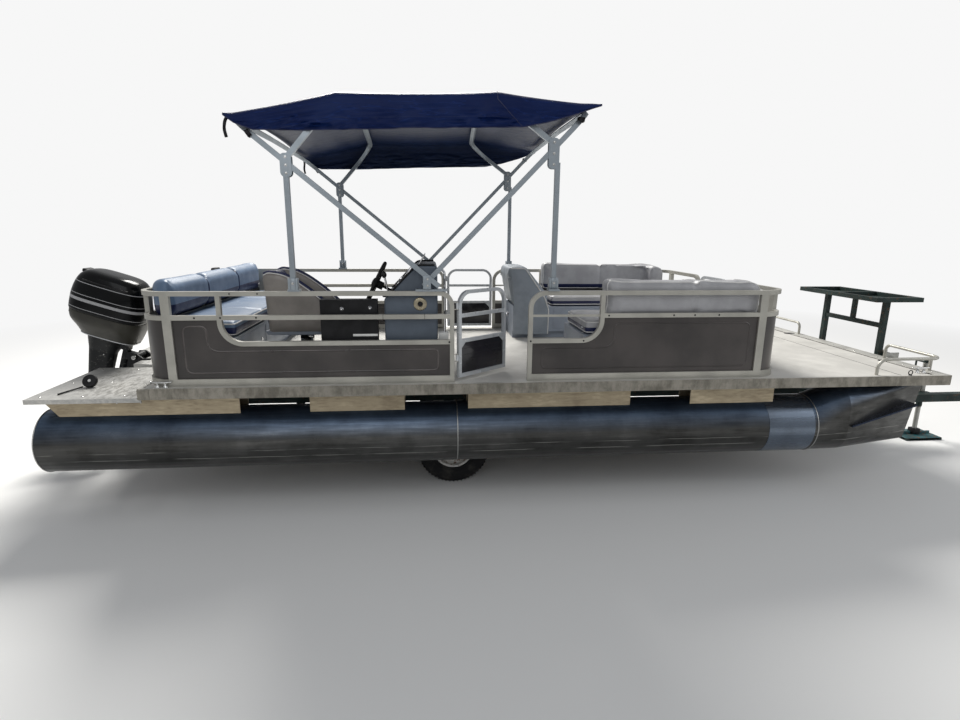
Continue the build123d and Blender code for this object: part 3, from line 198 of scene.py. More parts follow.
# Painted or moulded surface: a soft change of tone, an orange peel and, where asked, worn spots
def paintLook(name, colour, rough, wear=None, coat=0.0, scale=6.0, grain=0.15, change=0.16, chips=0.0, metallic=0.0,
              shine=0.5):
    made, tree, shader, coords = newMaterial(name, Metallic=metallic, Coat_Weight=coat, Coat_Roughness=0.12,
                                             Specular_IOR_Level=shine)
    clouds = noiseField(tree, coords, scale, detail=5)
    colours = ramp(tree, clouds, (0.34, spread(colour, 1 - change)), (0.66, spread(colour, 1 + change)))
    peel = noiseField(tree, coords, 260, detail=2)
    roughField = ramp(tree, clouds, (0.3, rough * 1.2), (0.7, rough * 0.85))
    if chips:
        spots = noiseField(tree, coords, 34, detail=8, rough=0.7)
        mask = ramp(tree, spots, (0.6 - 0.1 * chips, 0.0), (0.62 - 0.1 * chips, 1.0), smooth="LINEAR")
        colours = mixColours(tree, mask, colours, wear)
        roughField = mixColours(tree, mask, roughField, (0.75, 0.75, 0.75))
    dress(tree, shader, colours, roughField)
    bump(tree, shader, peel, grain, 0.0006)
    return made


# Marine vinyl: a leather grain with a soft gloss; bands are heights where the second colour shows, and it shows
# only nearer to the middle of the boat than inboard
def vinylLook(name, colour, second=None, bands=(), inboard=None):
    made, tree, shader, coords = newMaterial(name, Specular_IOR_Level=0.45)
    grainSize = node(tree, "ShaderNodeTexVoronoi", {"Vector": coords, "Scale": 310.0})
    soft = noiseField(tree, coords, 9, detail=5)
    first = ramp(tree, soft, (0.35, spread(colour, 0.86)), (0.65, colour))
    if second:
        other = ramp(tree, soft, (0.35, spread(second, 0.8)), (0.65, second))
        mask = bandsOf(tree, axisOf(tree, coords, "Z"), bands)
        if inboard:
            reach = sums(tree, "ABSOLUTE", axisOf(tree, coords, "Y"))
            mask = sums(tree, "MULTIPLY", mask, sums(tree, "LESS_THAN", reach, inboard))
        first = mixColours(tree, mask, first, other)
    dress(tree, shader, first, ramp(tree, soft, (0.3, 0.5), (0.7, 0.36)))
    bump(tree, shader, grainSize.outputs["Distance"], 0.35, 0.0007)
    return made


# Woven acrylic canvas: two crossed sets of threads that follow the cut of the cloth, and faded patches;
# seams are the stations of sewn rows across the cloth, and hems the distances from its middle
def canvasLook(name, colour, faded, seams=(), hems=(), thread=(0.03, 0.04, 0.09)):
    made, tree, shader, coords = newMaterial(name, Roughness=0.38, Specular_IOR_Level=0.1)
    cut = node(tree, "ShaderNodeUVMap", uv_map="cut").outputs["UV"]
    weaves = [node(tree, "ShaderNodeTexWave", {"Vector": cut, "Scale": 120.0, "Distortion": 0.4},
                   bands_direction=axis).outputs["Fac"] for axis in ("X", "Y")]
    threads = sums(tree, "MULTIPLY", *weaves)
    clouds = noiseField(tree, coords, 2.2, detail=6)
    tone = ramp(tree, clouds, (0.34, colour), (0.68, faded))
    cloth = mixColours(tree, sums(tree, "MULTIPLY", threads, 0.35), tone, spread(colour, 0.45))
    parts = node(tree, "ShaderNodeSeparateXYZ", {"Vector": cut}).outputs
    middle = sums(tree, "ABSOLUTE", parts["Y"])
    rows = None
    for value, places, other in ((parts["X"], seams, parts["Y"]), (middle, hems, parts["X"])):
        dash = sums(tree, "GREATER_THAN", sums(tree, "FRACT", sums(tree, "MULTIPLY", other, 125.0)), 0.35)
        for place in places:
            here = sums(tree, "MULTIPLY", band(tree, value, place - 0.0009, place + 0.0009, 0.0004), dash)
            rows = sums(tree, "ADD", rows, here, clamp=True) if rows else here
    if rows:
        cloth = mixColours(tree, rows, cloth, thread)
    # painted highlights: pale lines along the creases where the sides hang
    field = noiseField(tree, cut, 1.9, stretch=(1, 7, 1), detail=3, rough=0.6)
    hanging = node(tree, "ShaderNodeMapRange", {"Value": middle, "From Min": 1.1, "From Max": 1.2}).outputs[0]
    lines = sums(tree, "MULTIPLY", band(tree, field, 0.48, 0.484, 0.012), hanging)
    dress(tree, shader, mixColours(tree, sums(tree, "MULTIPLY", lines, 0.55), cloth, spread(faded, 2.6)))
    folds = noiseField(tree, coords, 5.0, stretch=(1, 2.4, 1), detail=4)
    inner = bump(tree, shader, sums(tree, "ADD", folds, sums(tree, "MULTIPLY", lines, 0.3)), 0.6, 0.014)
    bump(tree, shader, threads, 0.4, 0.0006, inner)
    return made


tones = {
    "aluminium": (0.105, 0.105, 0.102), "aluminiumMid": (0.066, 0.066, 0.064), "aluminiumDark": (0.036, 0.036, 0.034),
    "trim": (0.3, 0.28, 0.24), "trimDark": (0.15, 0.14, 0.115), "trimTopPaintedLight": (0.6, 0.59, 0.55),
    "bronze": (0.038, 0.032, 0.03), "deck": (0.6, 0.585, 0.55), "plywood": (0.2, 0.135, 0.085),
    "navy": (0.0022, 0.0095, 0.058), "navyFaded": (0.006, 0.018, 0.085), "underside": (0.01, 0.018, 0.048),
    "greyVinyl": (0.37, 0.37, 0.385), "vinylNavy": (0.004, 0.009, 0.055), "blueGrey": (0.105, 0.165, 0.265),
    "motor": (0.003, 0.0035, 0.004), "rust": (0.16, 0.06, 0.025), "tyre": (0.012, 0.012, 0.013),
}

looks = {}
# colour, darker colour, roughness, then what differs from plain metal
metals = {
    # the risers' golden tan is a painted reflection of the sunlit ground on their aluminium
    "riserMetal": ((0.5, 0.42, 0.29), (0.3, 0.245, 0.165), 0.4,
                   dict(streak=(0.3, 1, 1.4), scale=10, metallic=0.45, patches=0.6)),
    "crossMetal": ((0.42, 0.41, 0.39), (0.2, 0.19, 0.18), 0.42, dict(streak=(1, 0.2, 1), scale=12)),
    "plateMetal": ((0.55, 0.54, 0.51), (0.38, 0.38, 0.37), 0.42, dict(streak=(1, 0.4, 1), scale=7, metallic=0.6)),
    "engineMetal": ((0.25, 0.25, 0.24), (0.1, 0.1, 0.1), 0.5, {}),
    # the nose fins are bare aluminium; their dark blue is a painted reflection
    "finBlue": ((0.02, 0.03, 0.055), (0.01, 0.015, 0.03), 0.25, {}),
    # the lapped band is smoother aluminium; its blue tint is a painted sky reflection
    "bandMetal": ((0.17, 0.21, 0.27), (0.1, 0.12, 0.15), 0.26,
                  dict(streak=(0.1, 1, 1), scale=5, metallic=0.88, grain=0.1, patches=0.85)),
    "zinc": ((0.42, 0.42, 0.4), (0.24, 0.235, 0.21), 0.42, dict(scale=30, metallic=0.85)),
    "weld": ((0.5, 0.5, 0.49), (0.32, 0.32, 0.31), 0.3, dict(scale=40, grain=0.8)),
    "steel": ((0.62, 0.62, 0.61), (0.42, 0.42, 0.41), 0.2, dict(scale=20, metallic=1.0, grain=0.1)),
    "chrome": ((0.8, 0.8, 0.81), (0.66, 0.66, 0.67), 0.08, dict(scale=20, metallic=1.0, grain=0.03)),
    "silver": ((0.55, 0.56, 0.58), (0.45, 0.46, 0.48), 0.3, dict(scale=20, metallic=0.8, grain=0.05)),
    "brass": ((0.42, 0.37, 0.27), (0.25, 0.22, 0.16), 0.3, dict(scale=20, grain=0.1)),
}
for name, (colour, dark, rough, more) in metals.items():
    looks[name] = metalLook(name, colour, dark, rough, **more)
# colour, roughness, then what differs from plain paint
paints = {
    "railMetal": ((0.39, 0.38, 0.34), 0.36, dict(scale=3.5, change=0.12, metallic=0.4, grain=0.05)),
    "bowMetal": ((0.28, 0.315, 0.345), 0.34, dict(scale=3.5, change=0.1, metallic=0.5, grain=0.05)),
    "gatePaint": ((0.5, 0.52, 0.54), 0.26, dict(scale=3.5, change=0.06, coat=0.3, metallic=0.3)),
    "panelPaint": (tones["bronze"], 0.34, dict(coat=0.12, scale=2.2, change=0.35, grain=0.2)),
    # a lighter paint for the aft panels' pressed beads, a painted highlight along them
    "beadPaint": (spread(tones["bronze"], 1.5), 0.24, dict(coat=0.3, scale=3, change=0.4, grain=0.1)),
    "smokePanel": ((0.016, 0.015, 0.019), 0.14, dict(coat=0.3, scale=3, change=0.4, grain=0.03, shine=0.3)),
    "basePlastic": ((0.25, 0.28, 0.33), 0.48, dict(scale=3, change=0.1, grain=0.4)),
    "consolePlastic": ((0.08, 0.1, 0.128), 0.42, dict(scale=4, change=0.14, grain=0.35, shine=0.35)),
    "blackPlastic": ((0.006, 0.006, 0.007), 0.5, dict(scale=12, change=0.3, grain=0.5, shine=0.25)),
    "legPaint": ((0.005, 0.006, 0.007), 0.44,
                 dict(wear=(0.06, 0.06, 0.055), scale=7, change=0.3, chips=0.2, shine=0.25)),
    "panPaint": ((0.026, 0.025, 0.019), 0.36, dict(change=0.25, coat=0.1, shine=0.3)),
    "greenPaint": ((0.012, 0.024, 0.022), 0.5,
                   dict(wear=(0.07, 0.045, 0.028), scale=5, change=0.3, chips=0.1, shine=0.25)),
    "tealPaint": ((0.012, 0.075, 0.085), 0.5, dict(wear=tones["rust"], scale=8, change=0.3, chips=0.4)),
    "rimPaint": ((0.6, 0.59, 0.56), 0.42, dict(wear=tones["rust"], scale=9, change=0.12, chips=0.3)),
    "rubber": ((0.01, 0.01, 0.01), 0.7, dict(scale=20, change=0.35, grain=0.7, shine=0.25)),
    "carpet": ((0.05, 0.052, 0.055), 0.95, dict(scale=60, change=0.5, grain=1.0)),
    "kick": ((0.014, 0.014, 0.016), 0.8, dict(scale=40, change=0.4, grain=0.8, shine=0.2)),
    "redLens": ((0.42, 0.012, 0.01), 0.14, dict(coat=0.6, scale=30, change=0.2)),
    "whitePlastic": ((0.7, 0.7, 0.68), 0.35, dict(scale=10, change=0.06)),
    "dialFace": ((0.55, 0.55, 0.5), 0.3, dict(scale=40, change=0.05)),
}
for name, (colour, rough, more) in paints.items():
    looks[name] = paintLook(name, colour, rough, **more)
# colour, and the heights over the deck of a navy band; it may show only inboard of a distance
vinyls = {
    "vinylWhite": ((0.66, 0.655, 0.64), None, None), "vinylNavy": (tones["vinylNavy"], None, None),
    "vinylGrey": ((0.24, 0.27, 0.305), None, None), "vinylBeige": ((0.235, 0.215, 0.195), None, None),
    "seatVinyl": (tones["greyVinyl"], (0.33, 0.385), None), "backVinyl": (tones["greyVinyl"], (0.44, 0.52), 1.045),
    "sternSeatVinyl": (tones["blueGrey"], (0.33, 0.4), None),
    "sternBackVinyl": (tones["blueGrey"], (0.44, 0.56), None),
}
for name, (colour, heights, inboard) in vinyls.items():
    banded = (tones["vinylNavy"], [(up(heights[0]), up(heights[1]))], inboard) if heights else ()
    looks[name] = vinylLook(name, colour, *banded)
looks["canvas"] = canvasLook("canvas", tones["navy"], tones["navyFaded"], seams=(0.735, 3.16), hems=(1.19, 1.33))
looks["canvasUnder"] = canvasLook("canvasUnder", tones["underside"], spread(tones["underside"], 1.3))


# how far a face looks up, from 0 below low to 1 above high
def upwardMask(tree, low, high):
    facing = axisOf(tree, node(tree, "ShaderNodeNewGeometry").outputs["Normal"], "Z")
    return node(tree, "ShaderNodeMapRange", {"Value": facing, "From Min": low, "From Max": high}).outputs[0]


# The tubes: dull brushed aluminium with a painted sky reflection that turns the upward faces bluish, scuffs along the
# hull and a thin pale line low on the side
def tubeLook(name):
    made, tree, shader, coords = newMaterial(name, Metallic=0.86)
    clouds = noiseField(tree, coords, 2.6, detail=7, rough=0.6)
    scuffs = noiseField(tree, coords, 30, stretch=(0.06, 1, 1), detail=6, rough=0.65)
    marks = noiseField(tree, coords, 48, stretch=(0.35, 1, 1), detail=8, rough=0.75)
    blend = blendOf(tree, clouds, scuffs, 0.6)
    colours = ramp(tree, blend, (0.36, tones["aluminiumDark"]), (0.5, tones["aluminiumMid"]),
                   (0.64, tones["aluminium"]))
    # painted sky reflection: the faces that look up turn bluish
    paintedSkyReflection = ramp(tree, blend, (0.36, (0.03, 0.055, 0.1)), (0.64, (0.08, 0.135, 0.225)))
    colours = mixColours(tree, sums(tree, "MULTIPLY", upwardMask(tree, 0.15, 0.75), 0.7), colours, paintedSkyReflection)
    colours = mixColours(tree, ramp(tree, marks, (0.69, 0.0), (0.74, 1.0)), colours, (0.2, 0.2, 0.185))
    wander = sums(tree, "ADD", axisOf(tree, coords, "Z"), sums(tree, "MULTIPLY", clouds, 0.02))
    worn = ramp(tree, noiseField(tree, coords, 3, stretch=(1, 1, 6), detail=5), (0.42, 0.0), (0.6, 0.7))
    for low, high in ((0.502, 0.507), (0.56, 0.563)):
        line = sums(tree, "MULTIPLY", band(tree, wander, low, high, 0.0015), worn)
        colours = mixColours(tree, line, colours, (0.42, 0.42, 0.39))
    dress(tree, shader, colours, ramp(tree, scuffs, (0.3, 0.44), (0.7, 0.27)))
    bump(tree, shader, sums(tree, "ADD", scuffs, marks), 0.22, 0.0012)
    return made


# The deck's edge section: weathered grey brown on its sides, with a painted highlight where the lip faces up
def trimLook(name):
    made, tree, shader, coords = newMaterial(name, Metallic=0.5)
    clouds = noiseField(tree, coords, 5, stretch=(0.6, 1, 1), detail=7, rough=0.65)
    stains = noiseField(tree, coords, 26, stretch=(0.8, 1, 0.35), detail=7, rough=0.7)
    side = ramp(tree, blendOf(tree, clouds, stains, 0.5), (0.38, tones["trimDark"]), (0.62, tones["trim"]))
    # painted highlight: the faces that look up take the pale top tone
    top = ramp(tree, clouds, (0.35, spread(tones["trimTopPaintedLight"], 0.75)), (0.6, tones["trimTopPaintedLight"]))
    dress(tree, shader, mixColours(tree, upwardMask(tree, 0.5, 0.8), side, top),
          ramp(tree, stains, (0.3, 0.62), (0.7, 0.42)))
    bump(tree, shader, stains, 0.35, 0.0015)
    return made


# The deck: a pale ribbed covering above and bare plywood below
def deckLook(name):
    made, tree, shader, coords = newMaterial(name)
    clouds = noiseField(tree, coords, 2.4, detail=7, rough=0.62)
    top = ramp(tree, clouds, (0.35, spread(tones["deck"], 0.82)), (0.62, tones["deck"]))
    wood = noiseField(tree, coords, 26, stretch=(1, 0.06, 1), detail=6)
    under = ramp(tree, wood, (0.32, spread(tones["plywood"], 0.55)), (0.68, tones["plywood"]))
    dress(tree, shader, mixColours(tree, upwardMask(tree, 0.2, 0.4), under, top),
          ramp(tree, clouds, (0.3, 0.78), (0.7, 0.58)))
    ribs = node(tree, "ShaderNodeTexVoronoi", {"Vector": coords, "Scale": 150.0}).outputs["Distance"]
    bump(tree, shader, ribs, 0.5, 0.0015)
    return made


def tyreLook(name):
    made, tree, shader, coords = newMaterial(name, Roughness=0.82, Specular_IOR_Level=0.2)
    dust = noiseField(tree, coords, 14, detail=7)
    dress(tree, shader, ramp(tree, dust, (0.45, tones["tyre"]), (0.78, (0.05, 0.047, 0.042))))
    bump(tree, shader, noiseField(tree, coords, 160, detail=4), 0.4, 0.001)
    return made


# Gloss black cowl with silver lines that run level when the motor is upright
def cowlLook(name, pivot, tilt, stripes):
    made, tree, shader, coords = newMaterial(name, Coat_Weight=0.12, Coat_Roughness=0.08, Specular_IOR_Level=0.1)
    level = node(tree, "ShaderNodeMapping", {"Vector": coords, "Rotation": (0, -tilt, 0)}).outputs["Vector"]
    shift = (Matrix.Rotation(-tilt, 3, "Y") @ pivot).z
    clouds = noiseField(tree, coords, 6, detail=5)
    paint = ramp(tree, clouds, (0.34, spread(tones["motor"], 0.7)), (0.66, spread(tones["motor"], 1.5)))
    mask = bandsOf(tree, axisOf(tree, level, "Z"), [(shift + low, shift + high) for low, high in stripes], 0.0006)
    dress(tree, shader, mixColours(tree, mask, paint, (0.36, 0.36, 0.37)), ramp(tree, clouds, (0.3, 0.24), (0.7, 0.16)))
    bump(tree, shader, noiseField(tree, coords, 240, detail=2), 0.05, 0.0005)
    return made


outboard = {
    "pivot": Vector((at(-0.56), 0, 1.0)), "tilt": radians(18), "steerBack": 0.11, "squareness": 3.4,
    "stripes": [(0.538, 0.544), (0.438, 0.443), (0.386, 0.411), (0.318, 0.323)],
    # height over the pivot, front and back behind it, half width
    "rings": [(0.292, 0.01, 0.594, 0.188), (0.3, 0.006, 0.6, 0.194), (0.36, 0.006, 0.602, 0.198),
              (0.43, 0.01, 0.6, 0.2), (0.51, 0.026, 0.588, 0.194), (0.575, 0.05, 0.566, 0.182),
              (0.612, 0.076, 0.54, 0.166), (0.636, 0.11, 0.505, 0.14), (0.648, 0.16, 0.455, 0.1),
              (0.651, 0.24, 0.38, 0.04)],
    "panRings": [(0.1, 0.034, 0.476, 0.126), (0.112, 0.026, 0.488, 0.134), (0.15, 0.018, 0.52, 0.152),
                 (0.205, 0.01, 0.572, 0.178), (0.252, 0.008, 0.59, 0.186), (0.286, 0.008, 0.594, 0.189)],
    "gasket": [(0.286, 0.014, 0.588, 0.184), (0.293, 0.014, 0.588, 0.184)],
    "lowTrim": [(0.094, 0.03, 0.482, 0.13), (0.101, 0.03, 0.482, 0.13)],
    # distance behind the pivot and height over it
    "latch": [(0.6, 0.215), (0.618, 0.225), (0.618, 0.3), (0.6, 0.32), (0.585, 0.32), (0.585, 0.215)],
    "anode": [(0.3, -0.558), (0.362, -0.558), (0.35, -0.61), (0.312, -0.6)],
}
looks["tubeMetal"] = tubeLook("tubeMetal")
looks["trimMetal"] = trimLook("trimMetal")
looks["deckCover"] = deckLook("deckCover")
looks["tyreRubber"] = tyreLook("tyreRubber")
looks["cowlPaint"] = cowlLook("cowlPaint", outboard["pivot"], outboard["tilt"], outboard["stripes"])

# the look of each slot, then of the nodes that differ from their slot
slotLooks = {
    "tube_aluminium": "tubeMetal", "trim_grey": "trimMetal", "rail_cream": "railMetal", "panel_bronze": "panelPaint",
    "deck_light": "deckCover", "canvas_navy": "vinylNavy", "vinyl_white": "vinylWhite", "vinyl_beige": "vinylBeige",
    "base_grey": "basePlastic", "box_black": "blackPlastic", "motor_black": "cowlPaint", "leg_dark": "legPaint",
    "engine_grey": "engineMetal", "steel_dark": "blackPlastic", "bright_steel": "steel",
    "trailer_green": "greenPaint", "zinc": "zinc", "tyre_black": "tyreRubber", "rim_white": "rimPaint",
    "lamp_red": "redLens", "bunk_carpet": "carpet", "grip_black": "rubber",
}
nodeLooks = {
    "bimini_posts": "bowMetal", "bimini_fittings": "bowMetal", "bimini_rear_main_bow": "bowMetal",
    "bimini_front_main_bow": "bowMetal", "bimini_inner_bows": "bowMetal", "risers": "riserMetal",
    "cross_members": "crossMetal", "stern_platforms": "plateMetal", "motor_pod": "plateMetal",
    "swivel_bracket": "legPaint", "clamp_bracket": "legPaint", "nose_fins": "finBlue",
    "gate_starboard": "gatePaint", "gate_port": "gatePaint", "gate_bow": "gatePaint",
}
for name, piece in nodes.items():
    piece.data.materials.clear()
    piece.data.materials.append(looks[nodeLooks.get(name, slotLooks[slots[name]])])
print("materials on the frame", len(looks))

# Camera, floor and lamps

view = {"place": (deckAft + 1.9985, -5.1217, 2.1053), "yaw": -0.0942, "pitch": 0.2276, "roll": -0.008,
        "focalPixels": 559.8, "pixelsWide": 960, "sensor": 36, "far": 200}
cameraData = bpy.data.cameras.new("camera")
camera = bpy.data.objects.new("camera", cameraData)
scene.collection.objects.link(camera)
scene.camera = camera
cameraData.sensor_width = view["sensor"]
cameraData.lens = view["focalPixels"] / view["pixelsWide"] * view["sensor"]
cameraData.clip_end = view["far"]
turn = Matrix.Rotation(view["yaw"], 4, "Z") @ Matrix.Rotation(pi / 2 - view["pitch"], 4, "X")
camera.matrix_world = Matrix.Translation(view["place"]) @ turn @ Matrix.Rotation(-view["roll"], 4, "Z")

stage = {"size": 60.0, "floor": (0.8, 0.8, 0.79, 1), "rough": 0.9, "sky": (0.95, 0.965, 1.0, 1), "light": 0.31,
         "backdrop": 0.93, "fade": (5.5, 13.0), "mirrored": 0.3}
bm = bmesh.new()
bmesh.ops.create_grid(bm, x_segments=1, y_segments=1, size=stage["size"])
floorMesh = bpy.data.meshes.new("floor")
bm.to_mesh(floorMesh)
bm.free()
floorPiece = bpy.data.objects.new("floor", floorMesh)
scene.collection.objects.link(floorPiece)
floorLook = bpy.data.materials.new("floorLook")
floorLook.use_nodes = True
floorTree = floorLook.node_tree
floorShader = floorTree.nodes["Principled BSDF"]
floorShader.inputs["Base Color"].default_value = stage["floor"]
floorShader.inputs["Roughness"].default_value = stage["rough"]
# far from the boat the floor turns into the pale backdrop
away = node(floorTree, "ShaderNodeVectorMath", {0: node(floorTree, "ShaderNodeTexCoord").outputs["Object"]},
            operation="LENGTH").outputs["Value"]
fade = node(floorTree, "ShaderNodeMapRange",
            {"Value": away, "From Min": stage["fade"][0], "From Max": stage["fade"][1]}).outputs[0]
seen = sums(floorTree, "MULTIPLY", fade, node(floorTree, "ShaderNodeLightPath").outputs["Is Camera Ray"])
pale = node(floorTree, "ShaderNodeEmission", {"Color": (1, 1, 1, 1), "Strength": stage["backdrop"]})
mixed = node(floorTree, "ShaderNodeMixShader",
             {0: seen, 1: floorShader.outputs["BSDF"], 2: pale.outputs["Emission"]})
floorTree.links.new(mixed.outputs["Shader"], floorTree.nodes["Material Output"].inputs["Surface"])
floorMesh.materials.append(floorLook)

world = bpy.data.worlds.new("world")
scene.world = world
world.use_nodes = True
worldTree = world.node_tree
sky = worldTree.nodes["Background"]
sky.inputs["Color"].default_value = stage["sky"]
sky.inputs["Strength"].default_value = stage["light"]
backdrop = node(worldTree, "ShaderNodeBackground", {"Color": (1, 1, 1, 1), "Strength": stage["backdrop"]})
rays = node(worldTree, "ShaderNodeLightPath").outputs
direct = sums(worldTree, "ADD", sums(worldTree, "ADD", rays["Is Camera Ray"], rays["Is Transmission Ray"]),
              sums(worldTree, "MULTIPLY", rays["Is Glossy Ray"], stage["mirrored"]), clamp=True)
mixed = node(worldTree, "ShaderNodeMixShader",
             {0: direct, 1: sky.outputs["Background"], 2: backdrop.outputs["Background"]})
worldTree.links.new(mixed.outputs["Shader"], worldTree.nodes["World Output"].inputs["Surface"])

# place, aim, size, power, colour
lamps = {
    "key": ((-2.5, 7.5, 10.0), (0, 0, 1.0), 5.0, 2350, (1.0, 0.98, 0.94)),
    "near": ((-3.0, -9.5, 7.0), (-0.3, 0, 1.0), 7.0, 250, (0.96, 0.98, 1.0)),
    "bow": ((9.0, -4.5, 5.0), (0.5, 0, 1.2), 6.0, 200, (0.96, 0.98, 1.0)),
}
for name, (place, aim, size, power, colour) in lamps.items():
    lampData = bpy.data.lights.new(name, "AREA")
    lampData.energy = power
    lampData.size = size
    lampData.color = colour
    lamp = bpy.data.objects.new(name, lampData)
    scene.collection.objects.link(lamp)
    way = Vector(aim) - Vector(place)
    lamp.matrix_world = Matrix.Translation(place) @ way.to_track_quat("-Z", "Y").to_matrix().to_4x4()
print("camera, floor and lamps are set")

# Small shapes that the pieces are put together from


# adds the small shape part to bm, turned by move, with all its faces in one material slot
def join(bm, part, paint=None, move=None):
    if move is not None:
        bmesh.ops.transform(part, matrix=move, verts=part.verts)
    if paint is not None:
        for face in part.faces:
            face.material_index = paint
    mesh = bpy.data.meshes.new("part")
    part.to_mesh(mesh)
    part.free()
    bm.from_mesh(mesh)
    bpy.data.meshes.remove(mesh)


# a turn that sets the Z axis along a way, at a place
def aimed(place, way):
    return Matrix.Translation(place) @ Vector(way).to_track_quat("Z", "Y").to_matrix().to_4x4()


def bevel(part, edges, reach, steps=2):
    bmesh.ops.bevel(part, geom=edges, offset=reach, segments=steps, profile=0.5, affect="EDGES", material=-1)


def addRod(bm, start, end, radius, paint=0, sides=20, soft=0.0, tip=None, move=None):
    start, end = Vector(start), Vector(end)
    part = bmesh.new()
    bmesh.ops.create_cone(part, cap_ends=True, segments=sides, radius1=radius,
                          radius2=radius if tip is None else tip, depth=(end - start).length)
    if soft:
        bevel(part, [edge for edge in part.edges if any(len(face.verts) > 4 for face in edge.link_faces)], soft)
    turned = aimed((start + end) / 2, end - start)
    join(bm, part, paint, move @ turned if move is not None else turned)


def addBox(bm, low, high, soft=0.002, paint=0, move=None):
    part = bmesh.new()
    bmesh.ops.create_cube(part, size=1.0)
    bmesh.ops.scale(part, vec=[abs(b - a) for a, b in zip(low, high)], verts=part.verts)
    bmesh.ops.translate(part, vec=[(a + b) / 2 for a, b in zip(low, high)], verts=part.verts)
    if soft:
        bevel(part, part.edges[:], soft)
    join(bm, part, paint, move)


# a flat outline in a plane, made thick from low to high along the plane's own axis; bends rounds the outline's
# corners and soft its rims
def addPlate(bm, outline, low, high, plane="XZ", bends=0.0, soft=0.0, paint=0, move=None):
    part = bmesh.new()
    order = {"XZ": (0, 2, 1), "XY": (0, 1, 2), "YZ": (2, 0, 1)}[plane]
    face = part.faces.new([part.verts.new([(*point, low)[index] for index in order]) for point in outline])
    step = [(0, 0, high - low)[index] for index in order]
    grown = bmesh.ops.extrude_face_region(part, geom=[face])["geom"]
    bmesh.ops.translate(part, vec=step, verts=[item for item in grown if isinstance(item, bmesh.types.BMVert)])
    bmesh.ops.recalc_face_normals(part, faces=part.faces)
    way = Vector(step).normalized()
    for reach, steps, upright in ((bends, 6, True), (soft, 3, False)):
        if reach:
            bevel(part, [edge for edge in part.edges
                         if (abs((edge.verts[0].co - edge.verts[1].co).normalized().dot(way)) > 0.99) == upright],
                  reach, steps)
    join(bm, part, paint, move)


# the four corners of a rectangle, in order whichever way round the ends are given
def square(x0, x1, y0, y1, inset=0.0):
    x0, x1 = sorted((x0, x1))
    y0, y1 = sorted((y0, y1))
    return [(x0 + inset, y0 + inset), (x1 - inset, y0 + inset), (x1 - inset, y1 - inset), (x0 + inset, y1 - inset)]


# stations and heights over the deck, as points of an outline
def placed(points):
    return [(at(station), up(rise)) for station, rise in points]


# the same points with each corner turned into an arc; bend is one reach for all, or one for each point
def rounded(points, bend, steps=6, closed=False):
    points = [Vector(point) for point in points]
    count = len(points)
    bends = bend if isinstance(bend, (list, tuple)) else [bend] * count
    line = []
    for index, corner in enumerate(points):
        if not closed and index in (0, count - 1):
            line.append(corner)
            continue
        back, ahead = points[index - 1] - corner, points[(index + 1) % count] - corner
        reach = min(bends[index], back.length * 0.49, ahead.length * 0.49)
        start, end = corner + back.normalized() * reach, corner + ahead.normalized() * reach
        for step in range(steps + 1):
            t = step / steps
            line.append(start * (1 - t) ** 2 + corner * 2 * t * (1 - t) + end * t ** 2)
    return line


# a closed circle of points that stands across the X axis, or across the Y axis
def circleOf(place, radius, count, across="X"):
    turns = [(radius * cos(2 * pi * k / count), radius * sin(2 * pi * k / count)) for k in range(count)]
    x, y, z = place
    return [(x, y + a, z + b) if across == "X" else (x + a, y, z + b) for a, b in turns]


def addTube(bm, points, radius, paint=0, closed=False, rings=3):
    run = bpy.data.curves.new("run", "CURVE")
    run.dimensions = "3D"
    spline = run.splines.new("POLY")
    spline.points.add(len(points) - 1)
    for knot, point in zip(spline.points, points):
        knot.co = (*point, 1)
    spline.use_cyclic_u = closed
    run.bevel_depth = radius
    run.bevel_resolution = rings
    run.use_fill_caps = True
    holder = bpy.data.objects.new("run", run)
    mesh = bpy.data.meshes.new_from_object(holder)
    part = bmesh.new()
    part.from_mesh(mesh)
    bpy.data.objects.remove(holder)
    bpy.data.curves.remove(run)
    bpy.data.meshes.remove(mesh)
    bmesh.ops.remove_doubles(part, verts=part.verts, dist=1e-6)
    join(bm, part, paint)


# a profile of (radius, distance) points turned about an axis through place
def addLathe(bm, profile, place, way, paint=0, steps=32, move=None):
    part = bmesh.new()
    chain = [part.verts.new((radius, 0, reach)) for radius, reach in profile]
    edges = [part.edges.new(pair) for pair in zip(chain[:-1], chain[1:])]
    bmesh.ops.spin(part, geom=chain + edges, cent=(0, 0, 0), axis=(0, 0, 1), angle=2 * pi, steps=steps,
                   use_merge=True)
    bmesh.ops.remove_doubles(part, verts=part.verts, dist=1e-6)
    bmesh.ops.recalc_face_normals(part, faces=part.faces)
    turned = aimed(place, way)
    join(bm, part, paint, move @ turned if move is not None else turned)


def addBall(bm, place, radius, paint=0, squeeze=(1, 1, 1)):
    part = bmesh.new()
    bmesh.ops.create_uvsphere(part, u_segments=20, v_segments=12, radius=radius)
    bmesh.ops.scale(part, vec=squeeze, verts=part.verts)
    bmesh.ops.translate(part, vec=place, verts=part.verts)
    join(bm, part, paint)


# a hexagon head on a washer
def addBolt(bm, place, way, size=0.01, paint=0, move=None):
    place, way = Vector(place), Vector(way).normalized()
    addRod(bm, place, place + way * size * 0.16, size * 0.95, paint, 16, move=move)
    addRod(bm, place + way * size * 0.1, place + way * size * 0.62, size * 0.58, paint, 6, size * 0.05, move=move)


# a low domed screw or rivet head
def addScrew(bm, place, way, size=0.006, paint=0, move=None):
    addLathe(bm, [(0, size * 0.38), (size * 0.55, size * 0.3), (size * 0.9, size * 0.12), (size, 0)], place, way,
             paint, 10, move=move)


